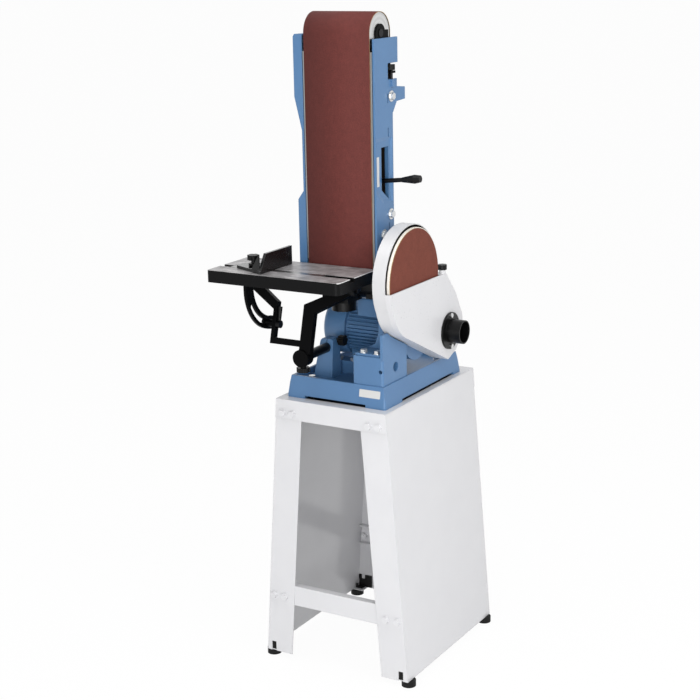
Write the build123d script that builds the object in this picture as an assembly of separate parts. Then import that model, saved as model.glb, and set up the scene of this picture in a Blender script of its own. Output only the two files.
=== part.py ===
from build123d import *
import os
from math import acos, atan2, cos, hypot, pi, radians, sin

# Belt and disc sander on a stand, in millimetres, +Z up, front towards -Y, disc on the +X side

# Shared clearances and fasteners
run_gap = 0.05
air_gap = 0.3
bolt_r = 4.0
bolt_hole_gap = 0.3
bolt_head_flats = 13.0
bolt_head_height = 5.3
washer_r = 8.0
washer_thick = 1.6
nut_height = 6.5
screw_r = 2.5
screw_head_r = 4.8
screw_head_height = 3.0
star_lobes = 6
star_lobe_r = 3.5
fine_lobes = 8
fine_lobe_r = 2.0
half_turn = 180.0
full_turn = 360.0
sector_steps = 8

# Stand
stand_top_width = 258.0
stand_bottom_width = 344.0
stand_depth = 392.0
stand_top_z = 584.0
leg_bottom_z = 13.0
sheet = 2.0
leg_flange = 62.0
apron_height = 42.0
crossbar_z = 128.0
crossbar_height = 44.0
crossbar_flange = 15.0
foot_tab = 27.0
apron_bolt_outer_x = 113.0
apron_bolt_inner_x = 90.0
apron_bolt_z = 555.0
leg_bolt_outer_x = 150.0
leg_bolt_inner_x = 123.0
leg_bolt_z = 144.0
stand_bolt_length = 14.0

# Rubber feet, pressed into the legs
foot_pad_r = 15.0
foot_stud_r = 3.5
foot_stud_top_z = 24.0
foot_inset_x = 6.5
foot_inset_y = 18.0
foot_web = 3.0
foot_web_inner_x = 150.0
foot_blade_x0 = 133.0
foot_blade_x1 = 166.5
foot_blade_thick = 3.0
foot_blade_top_z = 44.0
foot_slot_x = 155.5
foot_slot_half = 5.5
foot_slot_top_z = 34.0
foot_notch_half = 5.0

# Base casting
base_half_x = 116.0
base_front_y = -173.0
base_rear_y = 160.0
base_corner_r = 5.0
base_flange_height = 4.0
base_rim_z = 629.0
motor_pad_z = 634.0
base_draft = 10.4
base_wall = 13.0
base_rim_inset = 13.0
deck_z = 616.0
deck_thick = 8.0
arch_height = 6.0
arch_front_x0 = -74.0
arch_front_x1 = 70.0
arch_side_y0 = -102.0
arch_side_y1 = 127.0
block_x0 = 36.0
block_x1 = 106.0
block_front_y = -163.0
block_rear_y = -60.0
block_top_z = 688.0
block_wall = 12.0
block_corner_r = 5.0
cradle_x0 = 100.0
cradle_top_z = 735.0
cradle_gap = 2.0
base_bolt_x = 80.0
base_bolt_rear_y = 118.0
base_bolt_front_y = -132.0
base_bolt_length = 42.0

# Second rod socket in the block, for the table at the disc
disc_rod_y = -110.0
disc_rod_z = 659.0
disc_rod_lock_x = 100.0
disc_rod_boss_r = 17.0
disc_rod_depth = 40.0
disc_rod_lock_r = 4.0

# Support rod and its boss
rod_r = 10.0
rod_x0 = -60.0
rod_z0 = 678.5
rod_front_y = -206.0
rod_rear_y = -66.0
boss_half = 15.0
boss_top_z = 696.5
boss_corner = 4.0
boss_split_half = 1.0
boss_front_y = -103.0
boss_rear_y = -76.0
boss_foot_left = 27.0
boss_foot_right = 17.0
boss_foot_front_y = -114.0
rod_lock_y = -85.0
rod_lock_z = 692.0
rod_lock_reach = 9.0
rod_lock_stud_r = 3.0
rod_lock_knob_r = 11.0
rod_lock_knob_length = 13.0
rod_lock_neck = 5.0

# Drum, belt and disc axis
axis_y = -73.0
axis_z = 835.0
belt_width = 150.0
belt_mid_x = -16.0
belt_loop_length = 1220.0
belt_thick = 1.2
belt_slack = 0.3
roller_r = 40.0
drum_wall = 6.0
drum_web_x0 = -50.0
drum_web_x1 = -20.0
spindle_r = 10.0
spindle_cap_r = 16.0
spindle_cap_length = 6.0
spindle_end_x = 126.0

# Headstock
web_x0 = 68.5
web_x1 = 80.0
head_foot_x0 = 42.0
head_foot_x1 = 97.0
head_foot_height = 5.0
head_foot_front_y = -160.0
head_foot_rear_y = -63.0
web_front_y = -112.0
web_rear_low_y = -70.0
head_round_r = 45.0
journal_r = 34.0
tube_r = 28.0
tube_left_x = 20.0
bearing_outer_r = 21.0
bearing_width = 12.0
bearing_left_x = 24.0
bearing_right_x = 64.0
head_lip_r = 13.0
head_bolt_x0 = 57.0
head_bolt_x1 = 88.5
head_bolt_rear_x = 55.0
head_bolt_front_y = -152.0
head_bolt_rear_y = -74.0
head_bolt_length = 20.0
head_rib_thick = 8.0
head_rib_x0 = 42.5
head_rib_knee_x = 60.0
head_rib_knee_z = 702.0
head_rib_top_z = 727.0

# Motor
motor_y = 0.0
motor_z = 705.0
motor_fin_r = 60.0
motor_body_r = 53.0
motor_bore_r = 47.0
motor_left_x = -38.0
motor_right_x = 56.0
motor_shield_thick = 8.0
motor_shield_r = 58.7
motor_boss_r = 25.0
motor_boss_length = 14.0
motor_bearing_r = 20.0
motor_bearing_width = 11.0
motor_shaft_r = 8.5
motor_shaft_hole_gap = 1.0
fin_thick = 2.4
fin_pitch = 8.0
foot_x0 = -70.0
foot_x1 = 36.0
foot_inner_y = 30.0
foot_outer_y = 61.0
foot_thick = 8.0
foot_wall = 8.0
foot_bolt_y = 53.5
foot_bolt_x_left = -58.0
foot_bolt_x_mid = -26.0
foot_bolt_x_right = 22.0
foot_bolt_length = 24.0
pad_inner_y = 40.0
fan_cover_left_x = -96.5
fan_cover_r = 61.0
fan_cover_wall = 2.0
fan_cover_gap = 5.0
fan_cover_round = 10.0
grille_outer_r = 26.0
grille_outer_holes = 14
grille_inner_r = 13.0
grille_inner_holes = 7
grille_hole_r = 4.0
fan_x0 = -80.0
fan_x1 = -60.0
fan_hub_r = 16.0
fan_r = 51.0
fan_blade = 3.0
fan_blades = 8
rotor_r = 29.0
rotor_x0 = -22.0
rotor_x1 = 34.0
stator_gap = 0.5
stator_x0 = -26.0
stator_x1 = 38.0
terminal_x0 = -18.0
terminal_x1 = 54.0
terminal_half_y = 50.0
terminal_top_z = 777.0
terminal_gland_z = 758.0
terminal_round = 4.0
gland_r = 8.0
gland_nut_flats = 19.0
gland_length = 14.0
gland_nut_length = 6.0
gland_bore_r = 4.0
gland_step = 2.0
gland_spigot = 2.5

# Belt drive between motor and drum
pulley_x0 = 83.0
pulley_x1 = 94.0
drum_pulley_r = 28.0
motor_pulley_r = 26.0
pulley_lip = 2.0
pulley_lip_width = 1.5
drive_belt_thick = 3.5
cover_wall = 2.0
cover_x1 = 96.0
cover_motor_r = 58.0
cover_sleeve_r = 38.0
cover_motor_x0 = 66.0
cover_shaft_hole_r = 14.0
guard_bolt_ring_r = 37.7
guard_bolt_count = 3
guard_bolt_start = 25.0
guard_bolt_step = 90.0
guard_boss_r = 4.8
guard_screw_length = 16.0

# Disc and its guard
disc_r = 101.5
disc_plate_r = 103.5
disc_hub_r = 22.0
disc_hub_x0 = 99.0
disc_plate_x0 = 125.0
disc_back_r = 85.0
disc_back_x0 = 117.0
disc_plate_x1 = 130.0
abrasive_thick = 1.2
guard_sheet = 2.0
guard_rim_r = 110.0
guard_rim_x1 = 124.0
cover_face_x1 = 136.0
hood_top = -12.0
hood_knee_y = 128.0
hood_slope_y = 172.0
hood_slope_z = -62.0
hood_rear_y = 203.0
hood_rear_z = -116.0
hood_corner_z = -158.0
hood_low_y = 172.0
hood_low_z = -186.0
hood_tip_y = 136.0
hood_tip_z = -199.0
hood_round = 22.0
hood_arc_y = -5.0
hood_arc_z = -26.0
hood_arc_r = 95.0
port_y = 143.0
port_z = -138.0
port_r = 25.0
port_wall = 2.5
port_end_x = 171.0
port_flange_thick = 4.0
port_flange_r = 39.0
port_screw_spread = 33.0
port_screw_length = 7.0
guard_knob_y = 121.5
guard_knob_x = 130.5
guard_knob_r = 9.5
guard_knob_height = 10.5
guard_knob_boss_r = 6.5
guard_knob_boss_height = 8.0
guard_knob_stud_r = 3.0
guard_knob_stud_length = 7.0

# Belt arm, heights measured from the drum axis
arm_plate_x0 = 63.0
arm_plate_x1 = 68.0
arm_hub_r = 43.5
arm_front = -38.0
arm_rear = 32.0
arm_top = 472.0
arm_upper_rear = 54.0
notch_rear = 14.0
notch_top = 422.5
notch_bottom = 391.0
shelf_rear = 50.0
shelf_bottom = 375.5
lug_rear_y = 83.0
lug_top = 372.0
lug_low = 348.0
lug_neck_y = 49.0
lug_neck_z = 346.0
lug_root_y = 33.0
lug_root_z = 325.0
window_front = -11.0
window_rear = 18.0
window_top = 260.0
window_rear_low = 154.0
window_front_low = 175.0
window_rib_x0 = 56.0
window_rib = 4.0
pocket_depth = 3.2
pocket_front = -36.5
pocket_rear = 28.0
pocket_top = 280.0
pocket_rear_low = 149.0
pocket_knee = -10.0
pocket_front_low = 171.0
pocket_slope = 4.0
pocket_slope_high = 8.0
slot_y = 13.0
slot_half = 1.8
slot_length = 18.0
slot_low_z = 89.0
slot_mid_z = 279.0
slot_high_z = 345.0
arm_wall_x0 = -97.5
arm_wall_x1 = -94.5
arm_wall_half_y = 30.0
arm_wall_top = 398.0
spine_front = -35.0
spine_back = -29.0
spine_low = 50.0
spine_top = 398.0
arm_bolt_high_y = 25.5
arm_bolt_high_z = 358.0
arm_bolt_mid_y = 19.0
arm_bolt_mid_z = 124.0
arm_bolt_low_y = -10.0
arm_bolt_low_z = 86.0
arm_bolt_length = 20.0
arm_washer_r = 11.0
platen_x0 = -94.5
platen_x1 = 62.5
platen_front = -40.0
platen_low = 30.0
platen_top = 447.0

# Left side cover of the arm
side_cover_wall = 3.0
side_cover_half_y = 38.0
side_cover_top_drop = 1.5
side_cover_shoulder_drop = 6.5
side_cover_shoulder_x = -114.5
side_cover_upper_x = -118.0
side_cover_upper_low = 357.0
side_cover_waist_x = -102.0
side_cover_waist_top = 290.0
side_cover_waist_low = 168.0
side_cover_lower_x = -115.0
side_cover_lower_top = 150.0

# Tension: stem, springs and lever, heights from the drum axis
stem_r = 8.0
low_shelf_z = 300.0
high_shelf_z = 360.0
shelf_thick = 12.0
shelf_half_x = 34.0
shelf_back = 20.0
collar_r = 16.0
collar_z = 340.0
collar_thick = 5.0
clevis_half_x = 14.0
clevis_base_z = 384.0
clevis_base_top = 397.0
clevis_cheek = 5.0
clevis_top = 421.0
fork_pin_r = 5.0
fork_pin_z = 411.0
lever_x = -2.0
lever_z = 186.0
lever_crank = 14.0
lever_pin_r = 4.0
lever_pivot_r = 5.0
lever_boss_r = 10.0
lever_cheek = 4.0
lever_cheek_r = 7.0
lever_slope = 6.0
lever_rod_r = 4.5
lever_rod_length = 112.0
lever_bridge_x0 = 7.0
lever_bridge_x1 = 15.0
lever_bridge_half = 6.0
grip_start = 108.0
grip_end = 149.0
grip_r0 = 5.0
grip_r1 = 9.0
grip_end_r = 7.0
grip_mid = 136.0
yoke_half_x = 12.0
yoke_half_y = 8.0
yoke_low = 174.0
yoke_top = 200.0
yoke_slot_half = 9.0
spring_r = 14.5
spring_bore_r = 8.6
spring_plate = 1.6
spring_count = 6

# Idler roller and fork
idler_half = 74.0
idler_wall = 6.0
idler_web = 16.0
idler_bore_r = 8.0
axle_r = 6.0
idler_bearing_r = 15.0
idler_bearing_width = 10.0
strap_thick = 2.0
strap_gap = 1.0
strap_front = -19.0
strap_rear = 23.0
strap_low = 402.0
strap_shoulder = 487.0
strap_head_r = 18.0
nose_front = -34.5
nose_low = 452.0
nose_top = 472.0
heel_rear = 30.5
heel_low = 465.0
fork_bar_half_y = 12.0
fork_bar_low = 402.0
fork_bar_top = 422.0
axle_head_r = 8.0
axle_head_height = 1.2
tab_rear = 39.5
tab_low = 402.5
tab_top = 407.0
tab_end_x = 71.0
tab_overlap = 2.0
tab_hole_gap = 0.6

# Tracking screw
track_y = 31.5
track_screw_r = 3.0
track_screw_low = 378.0
track_knob_low = 408.5
track_knob_top = 419.5
track_knob_r = 7.5
track_x = 66.0
track_boss_half = 6.0

# Dust hood under the drum
hood_r = 46.0
hood_sheet = 2.5
hood_x0 = -93.0
hood_x1 = 61.0
hood_start = 190.0
hood_stop = 268.0
spigot_x = -12.6
spigot_r = 25.0
spigot_y = -37.0
spigot_low = -69.5
plenum_half_x = 30.0
plenum_front = -66.0
plenum_rear = -8.0
plenum_low = -50.0
plenum_top = -18.0
hood_lug_front = -38.0
hood_lug_rear = -22.0
hood_lug_low = -42.0
hood_lug_top = -32.0
hood_lug_x0 = 40.0

# Table
table_x0 = -239.0
table_x1 = 68.0
table_front_y = -266.0
table_rear_y = -117.8
table_top_z = 856.6
table_depth = 25.0
table_plate = 11.0
table_skirt = 9.0
table_left_corner_r = 4.0
table_right_corner_r = 10.0
miter_slot_y = -212.0
miter_slot_half = 8.0
miter_slot_depth = 8.0
pivot_y = -160.5
pivot_z = 822.0
pivot_r = 5.0
ear_r = 14.0
ear_thick = 10.0

# Tilt quadrant and its lock
quadrant_x0 = -156.0
quadrant_x1 = -150.0
quadrant_r = 99.0
quadrant_inner_r = 72.0
quadrant_stop = 266.0
quad_slot_inner_r = 81.0
quad_slot_outer_r = 92.0
quad_slot_start = 206.0
quad_slot_stop = 260.0
lock_angle = 255.0
lock_r = 5.0
lock_washer_r = 11.0
lock_washer_thick = 4.0
lock_hub_r = 8.0
lock_hub_length = 9.0
lock_lever_length = 36.0
lock_lever_r0 = 3.5
lock_lever_r1 = 4.5
lock_lever_lean = 12.0

# Bracket under the table
bracket_lean = 15.0
bracket_half = 7.0
bracket_lug_left_x = -206.0
bracket_lug_right_x = 38.0
bracket_lug_thick = 14.0
post_left_x0 = -137.0
post_left_x1 = -129.0
post_right_x0 = -66.0
post_right_x1 = -40.0
arm_root_low = -57.0
arm_root_top = -41.0
arm_end_low = -13.0
arm_end_top = 2.0
foot_bar_low = -127.0
foot_bar_top = -114.0
post_foot_low = -140.0
clamp_r = 18.0
clamp_front_y = -207.0
clamp_rear_y = -185.0
clamp_screw_y = -196.0
clamp_screw_r = 4.0
clamp_knob_r = 14.0
clamp_knob_height = 9.0
clamp_neck = 2.0
clamp_neck_r = 6.0

# Miter gauge
miter_bar_x0 = -214.0
miter_bar_x1 = 2.5
miter_side_gap = 0.2
miter_pivot_x = -130.0
miter_pin_r = 5.0
miter_head_half = 46.0
miter_tail_x = -193.0
miter_tail_half = 14.0
miter_rib_y = 38.0
miter_rib_thick = 4.0
miter_rib_height = 38.0
miter_rib_end_x = -140.0
miter_head_thick = 6.0
miter_head_gap = 0.4
miter_fence_x0 = -121.0
miter_fence_x1 = -115.0
miter_fence_front_y = -259.0
miter_fence_rear_y = -141.0
miter_fence_height = 38.0
miter_fence_slope = 24.0
miter_lock_r = 32.0
miter_stud_r = 4.0
miter_slot_gap = 0.5
miter_swing = 47.0
miter_knob_r = 12.0
miter_knob_height = 10.0
miter_neck_r = 4.5
miter_neck = 11.0
miter_flange_r = 10.0
miter_flange = 4.0

# Switch box on the left stand panel
switch_y0 = -96.0
switch_y1 = -22.0
switch_z0 = 444.0
switch_z1 = 540.0
switch_outer_x = -178.0
switch_wall = 2.5
button_r = 11.0
button_z_start = 515.0
button_z_stop = 479.0
stop_button_r = 14.0
button_out = 9.0
button_in = 8.0
button_flange_r = 3.0


# Height of the idler axis above the drum axis, from the belt's length
belt_inner_r = roller_r + belt_slack
belt_outer_r = belt_inner_r + belt_thick
idler_z = (belt_loop_length - pi * (belt_inner_r + belt_outer_r)) / 2

# Shape helpers


def slab(x0, x1, y0, y1, z0, z1):
    middle = Pos((x0 + x1) / 2, (y0 + y1) / 2, (z0 + z1) / 2)
    return middle * Box(x1 - x0, y1 - y0, z1 - z0)


def rod_x(r, x0, x1, y, z):
    return Pos((x0 + x1) / 2, y, z) * Rot(0, 90, 0) * Cylinder(r, x1 - x0)


def rod_y(r, y0, y1, x, z):
    return Pos(x, (y0 + y1) / 2, z) * Rot(90, 0, 0) * Cylinder(r, y1 - y0)


def rod_z(r, z0, z1, x, y):
    return Pos(x, y, (z0 + z1) / 2) * Cylinder(r, z1 - z0)


def flat(points):
    area = sum(a[0] * b[1] - b[0] * a[1] for a, b in zip(points, points[1:] + points[:1]))
    ordered = points if area > 0 else points[::-1]
    return Polygon(*ordered, align=None)


def side_solid(sketch, x0, x1):
    return extrude(Plane.YZ.offset(x0) * sketch, amount=x1 - x0, dir=(1, 0, 0))


def side_plate(points, x0, x1):
    return side_solid(flat(points), x0, x1)


def front_plate(points, y0, y1):
    plane = Plane(origin=(0, y0, 0), x_dir=(1, 0, 0), z_dir=(0, -1, 0))
    return extrude(plane * flat(points), amount=y1 - y0, dir=(0, 1, 0))


def plan_solid(sketch, z0, z1):
    return extrude(Pos(0, 0, z0) * sketch, amount=z1 - z0, dir=(0, 0, 1))


def ring_x(r_out, r_in, x0, x1, y, z):
    return rod_x(r_out, x0, x1, y, z) - rod_x(r_in, x0, x1, y, z)


def hexagon(flats, z0, z1):
    return extrude(Pos(0, 0, z0) * RegularPolygon(flats / 2, 6, major_radius=False), amount=z1 - z0)


def hex_bolt(length, washer=washer_r):
    head = hexagon(bolt_head_flats, washer_thick, washer_thick + bolt_head_height)
    return head + rod_z(washer, 0, washer_thick, 0, 0) + rod_z(bolt_r, -length, 0, 0, 0)


def hex_nut(flats, height, bore):
    return hexagon(flats, 0, height) - rod_z(bore, 0, height, 0, 0)


def round_screw(length):
    head = rod_z(screw_head_r, 0, screw_head_height, 0, 0)
    return head + rod_z(screw_r, -length, 0, 0, 0)


def grip_knob(r, height, lobes, lobe_r):
    body = rod_z(r, 0, height, 0, 0)
    for i in range(lobes):
        angle = 2 * pi * i / lobes
        body -= rod_z(lobe_r, 0, height, (r + lobe_r / 2) * cos(angle), (r + lobe_r / 2) * sin(angle))
    return body


def sector(r, start, stop):
    points = [(0, 0)]
    for i in range(sector_steps + 1):
        angle = radians(start + (stop - start) * i / sector_steps)
        points.append((2 * r * cos(angle), 2 * r * sin(angle)))
    return Circle(r) & flat(points)


def arc_slot(r, half, start, stop):
    body = sector(r + half, start, stop) - Circle(r - half)
    for angle in (start, stop):
        body += Pos(r * cos(radians(angle)), r * sin(radians(angle))) * Circle(half)
    return body


def hull_of_two(ya, za, ra, yb, zb, rb):
    gap = hypot(yb - ya, zb - za)
    aim = atan2(zb - za, yb - ya)
    spread = acos((ra - rb) / gap)
    corners = []
    for y, z, r, side in ((ya, za, ra, 1), (yb, zb, rb, 1), (yb, zb, rb, -1), (ya, za, ra, -1)):
        corners.append((y + r * cos(aim + side * spread), z + r * sin(aim + side * spread)))
    far_a = (ya - ra * cos(aim), za - ra * sin(aim))
    far_b = (yb + rb * cos(aim), zb + rb * sin(aim))
    outline = [
        Line(corners[0], corners[1]),
        ThreePointArc(corners[1], far_b, corners[2]),
        Line(corners[2], corners[3]),
        ThreePointArc(corners[3], far_a, corners[0]),
    ]
    return make_face(outline)


def group(shapes):
    solids = []
    for shape in shapes:
        solids.extend(shape.solids())
    return Compound(solids)


FACE_FRONT = Rot(90, 0, 0)
FACE_REAR = Rot(-90, 0, 0)
FACE_RIGHT = Rot(0, 90, 0)
FACE_LEFT = Rot(0, -90, 0)
FACE_DOWN = Rot(180, 0, 0)

# The row's origin: middle of the footprint box, on the floor
row_rear_y = stand_depth / 2 + washer_thick + bolt_head_height
row_right_x = stand_bottom_width / 2 - foot_inset_x + foot_pad_r
row_middle_x = (table_x0 + row_right_x) / 2
row_middle_y = (table_front_y + row_rear_y) / 2
to_row = Pos(-row_middle_x, -row_middle_y, 0)
os.makedirs("parts", exist_ok=True)


def save(name, shape):
    export_step(to_row * shape, "parts/" + name + ".step")


# Stand panels
panel_top_z = stand_top_z - sheet
lean = (stand_bottom_width - stand_top_width) / 2 / (stand_top_z - leg_bottom_z)
leg_front_y = -stand_depth / 2 + sheet


def panel_x(z):
    return stand_top_width / 2 + (stand_top_z - z) * lean


def leaning_strip(width, z0, z1):
    inner_low = (panel_x(z0) - width, z0)
    inner_top = (panel_x(z1) - width, z1)
    return [(panel_x(z0), z0), (panel_x(z1), z1), inner_top, inner_low]


foot_x = panel_x(leg_bottom_z) - foot_inset_x
foot_y = stand_depth / 2 - foot_inset_y
apron_bolt_xs = [-apron_bolt_outer_x, -apron_bolt_inner_x, apron_bolt_inner_x, apron_bolt_outer_x]
leg_bolt_xs = [-leg_bolt_outer_x, -leg_bolt_inner_x, leg_bolt_inner_x, leg_bolt_outer_x]
bolt_hole_r = bolt_r + bolt_hole_gap
stand_holes = [rod_y(bolt_hole_r, -stand_depth, stand_depth, x, apron_bolt_z) for x in apron_bolt_xs]
stand_holes += [rod_y(bolt_hole_r, -stand_depth, stand_depth, x, leg_bolt_z) for x in leg_bolt_xs]

side_strip = leaning_strip(sheet, leg_bottom_z, panel_top_z)
flange_strip = leaning_strip(leg_flange, leg_bottom_z, panel_top_z)
panel = front_plate(side_strip, leg_front_y, -leg_front_y)
panel += front_plate(flange_strip, leg_front_y, leg_front_y + sheet)
panel += front_plate(flange_strip, -leg_front_y - sheet, -leg_front_y)
tab_x1 = panel_x(leg_bottom_z + sheet)
for y0, y1 in ((leg_front_y, leg_front_y + foot_tab), (-leg_front_y - foot_tab, -leg_front_y)):
    panel += slab(tab_x1 - foot_tab, tab_x1, y0, y1, leg_bottom_z, leg_bottom_z + sheet)
slot_x0 = foot_slot_x - foot_slot_half
slot_x1 = foot_slot_x + foot_slot_half
for sy, y0 in ((-1, leg_front_y), (1, -leg_front_y - sheet)):
    panel -= rod_z(foot_stud_r + run_gap, leg_bottom_z, leg_bottom_z + sheet, foot_x, sy * foot_y)
    panel -= slab(slot_x0, slot_x1, y0, y0 + sheet, leg_bottom_z, foot_slot_top_z)
left_panel = panel.mirror(Plane.YZ)
right_panel = panel
for hole in stand_holes:
    left_panel -= hole
    right_panel -= hole
save("stand_left_panel", left_panel)
save("stand_right_panel", right_panel)

# Stand top plate with front and rear aprons
apron_z = stand_top_z - apron_height
half_top = stand_top_width / 2
apron = [
    (-panel_x(apron_z), apron_z),
    (panel_x(apron_z), apron_z),
    (half_top, stand_top_z),
    (-half_top, stand_top_z),
]
top_plate = slab(-half_top, half_top, -stand_depth / 2, stand_depth / 2, panel_top_z, stand_top_z)
top_plate += front_plate(apron, -stand_depth / 2, leg_front_y)
top_plate += front_plate(apron, -leg_front_y, stand_depth / 2)
for hole in stand_holes:
    top_plate -= hole
base_bolt_places = [
    (base_bolt_x, base_bolt_rear_y),
    (-base_bolt_x, base_bolt_rear_y),
    (-base_bolt_x, base_bolt_front_y),
]
for x, y in base_bolt_places:
    top_plate -= rod_z(bolt_hole_r, panel_top_z, stand_top_z, x, y)
save("stand_top_plate", top_plate)

# Stand crossbars
bar_top_z = crossbar_z + crossbar_height
bar_half = panel_x(bar_top_z) - sheet - air_gap
bar_front_y = leg_front_y + sheet
crossbar = slab(-bar_half, bar_half, bar_front_y, bar_front_y + sheet, crossbar_z, bar_top_z)
for z0 in (crossbar_z, bar_top_z - sheet):
    crossbar += slab(-bar_half, bar_half, bar_front_y, bar_front_y + crossbar_flange, z0, z0 + sheet)
rear_bar = crossbar.mirror(Plane.XZ)
for hole in stand_holes:
    crossbar -= hole
    rear_bar -= hole
save("stand_front_crossbar", crossbar)
save("stand_rear_crossbar", rear_bar)

# Stand bolts and nuts
stand_bolts = []
nut_y = leg_front_y + 2 * sheet
for sy, turn in ((1, FACE_FRONT), (-1, FACE_REAR)):
    for x in apron_bolt_xs:
        stand_bolts.append(Pos(x, -sy * stand_depth / 2, apron_bolt_z) * turn * hex_bolt(stand_bolt_length))
        nut = hex_nut(bolt_head_flats, nut_height, bolt_r + run_gap)
        stand_bolts.append(Pos(x, sy * (leg_front_y + sheet), apron_bolt_z) * turn * FACE_DOWN * nut)
    for x in leg_bolt_xs:
        stand_bolts.append(Pos(x, sy * leg_front_y, leg_bolt_z) * turn * hex_bolt(stand_bolt_length))
        nut = hex_nut(bolt_head_flats, nut_height, bolt_r + run_gap)
        stand_bolts.append(Pos(x, sy * nut_y, leg_bolt_z) * turn * FACE_DOWN * nut)
save("stand_bolts", group(stand_bolts))

# Rubber feet: pad, stud through the leg's tab, web on the tab and notched blade behind the leg's slot
tab_top_z = leg_bottom_z + sheet
blade_y1 = -leg_front_y - sheet - air_gap
blade_y0 = blade_y1 - foot_blade_thick
foot = rod_z(foot_pad_r, 0, leg_bottom_z, foot_x, foot_y)
foot += rod_z(foot_stud_r, leg_bottom_z, foot_stud_top_z, foot_x, foot_y)
foot += slab(foot_web_inner_x, foot_x, foot_y - foot_stud_r, blade_y1, tab_top_z, tab_top_z + foot_web)
foot += slab(foot_blade_x0, foot_blade_x1, blade_y0, blade_y1, tab_top_z, foot_blade_top_z)
notch_x0 = foot_slot_x - foot_notch_half
notch_x1 = foot_slot_x + foot_notch_half
foot -= slab(notch_x0, notch_x1, blade_y0, blade_y1, foot_slot_top_z, foot_blade_top_z)
feet = [foot, foot.mirror(Plane.YZ), foot.mirror(Plane.XZ), foot.mirror(Plane.YZ).mirror(Plane.XZ)]
save("stand_feet", group(feet))

# Outline of the disc guard, measured from the drum axis
tip_reach = hypot(hood_tip_y - hood_arc_y, hood_tip_z - hood_arc_z)
tip_aim = atan2(hood_tip_z - hood_arc_z, hood_tip_y - hood_arc_y)
touch = tip_aim - acos(hood_arc_r / tip_reach)
hood = flat(
    [
        (hood_arc_y, hood_top),
        (hood_knee_y, hood_top),
        (hood_slope_y, hood_slope_z),
        (hood_rear_y, hood_rear_z),
        (hood_rear_y, hood_corner_z),
        (hood_low_y, hood_low_z),
        (hood_tip_y, hood_tip_z),
        (hood_arc_y + hood_arc_r * cos(touch), hood_arc_z + hood_arc_r * sin(touch)),
    ]
)
hood = fillet(hood.vertices().sort_by(Axis.X)[-4:], hood_round)
guard_out = Circle(guard_rim_r) + Pos(hood_arc_y, hood_arc_z) * Circle(hood_arc_r) + hood
guard_in = offset(guard_out, -guard_sheet)
at_axis = Pos(axis_y, axis_z)

# Base casting
base_mid_y = (base_front_y + base_rear_y) / 2
base_length = base_rear_y - base_front_y
flange_z = stand_top_z + base_flange_height


def base_outline(inset):
    return RectangleRounded(2 * (base_half_x - inset), base_length - 2 * inset, base_corner_r)


at_base = Pos(0, base_mid_y, 0)
base = at_base * plan_solid(base_outline(0), stand_top_z, flange_z)
rim = extrude(Pos(0, 0, flange_z) * base_outline(0), amount=base_rim_z - flange_z, taper=base_draft)
base += at_base * rim
base -= at_base * plan_solid(base_outline(base_wall), stand_top_z, deck_z - deck_thick)
base -= at_base * plan_solid(base_outline(base_rim_inset), deck_z, base_rim_z)
block = Pos((block_x0 + block_x1) / 2, (block_front_y + block_rear_y) / 2) * RectangleRounded(
    block_x1 - block_x0, block_rear_y - block_front_y, block_corner_r
)
base += plan_solid(block, stand_top_z, block_top_z)
base -= slab(
    block_x0 + block_wall,
    block_x1 - block_wall,
    block_front_y + block_wall,
    block_rear_y - block_wall,
    stand_top_z,
    block_top_z - block_wall,
)
cradle = slab(cradle_x0, block_x1, block_front_y, block_rear_y, block_top_z - block_corner_r, cradle_top_z)
base += cradle - side_solid(at_axis * offset(guard_out, cradle_gap), cradle_x0, block_x1)
boss_x1 = rod_x0 + boss_half
boss_x0 = rod_x0 - boss_half
boss_foot_x0 = rod_x0 - boss_foot_left
boss_foot_x1 = rod_x0 + boss_foot_right
boss_outline = [
    (boss_foot_x0, deck_z),
    (boss_x0, boss_top_z - boss_corner),
    (boss_x0 + boss_corner, boss_top_z),
    (boss_x1 - boss_corner, boss_top_z),
    (boss_x1, boss_top_z - boss_corner),
    (boss_foot_x1, deck_z),
]
boss_profile = [
    (boss_foot_front_y, deck_z),
    (boss_front_y, boss_top_z),
    (boss_rear_y, boss_top_z),
    (boss_rear_y, deck_z),
]
boss = front_plate(boss_outline, boss_foot_front_y, boss_rear_y)
base += boss & side_plate(boss_profile, boss_foot_x0, boss_foot_x1)
for sy in (-1, 1):
    pad_y0 = min(sy * pad_inner_y, sy * foot_outer_y)
    base += slab(foot_x0, foot_x1, pad_y0, pad_y0 + foot_outer_y - pad_inner_y, deck_z, motor_pad_z)
arch_z = stand_top_z + arch_height
base -= slab(arch_front_x0, arch_front_x1, 2 * base_front_y, 2 * base_rear_y, stand_top_z, arch_z)
base -= slab(-2 * base_half_x, 2 * base_half_x, arch_side_y0, arch_side_y1, stand_top_z, arch_z)
base -= rod_y(rod_r + run_gap, boss_foot_front_y, boss_rear_y, rod_x0, rod_z0)
base -= slab(
    rod_x0 - boss_split_half,
    rod_x0 + boss_split_half,
    boss_foot_front_y,
    boss_rear_y,
    rod_z0,
    boss_top_z,
)
lock_end_x = rod_x0 - rod_lock_reach
base -= rod_x(rod_lock_stud_r + run_gap, lock_end_x, boss_x1 + rod_lock_neck, rod_lock_y, rod_lock_z)
base -= rod_x(rod_lock_knob_r, boss_x1, boss_x1 + rod_lock_neck, rod_lock_y, rod_lock_z)
base += rod_x(disc_rod_boss_r, block_x1 - disc_rod_depth, block_x1 - block_wall, disc_rod_y, disc_rod_z)
base -= rod_x(rod_r + run_gap, block_x1 - disc_rod_depth, block_x1, disc_rod_y, disc_rod_z)
base -= rod_y(disc_rod_lock_r, block_front_y, disc_rod_y, disc_rod_lock_x, disc_rod_z)
for x, y in base_bolt_places:
    base -= rod_z(bolt_hole_r, deck_z - deck_thick, deck_z, x, y)
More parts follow.
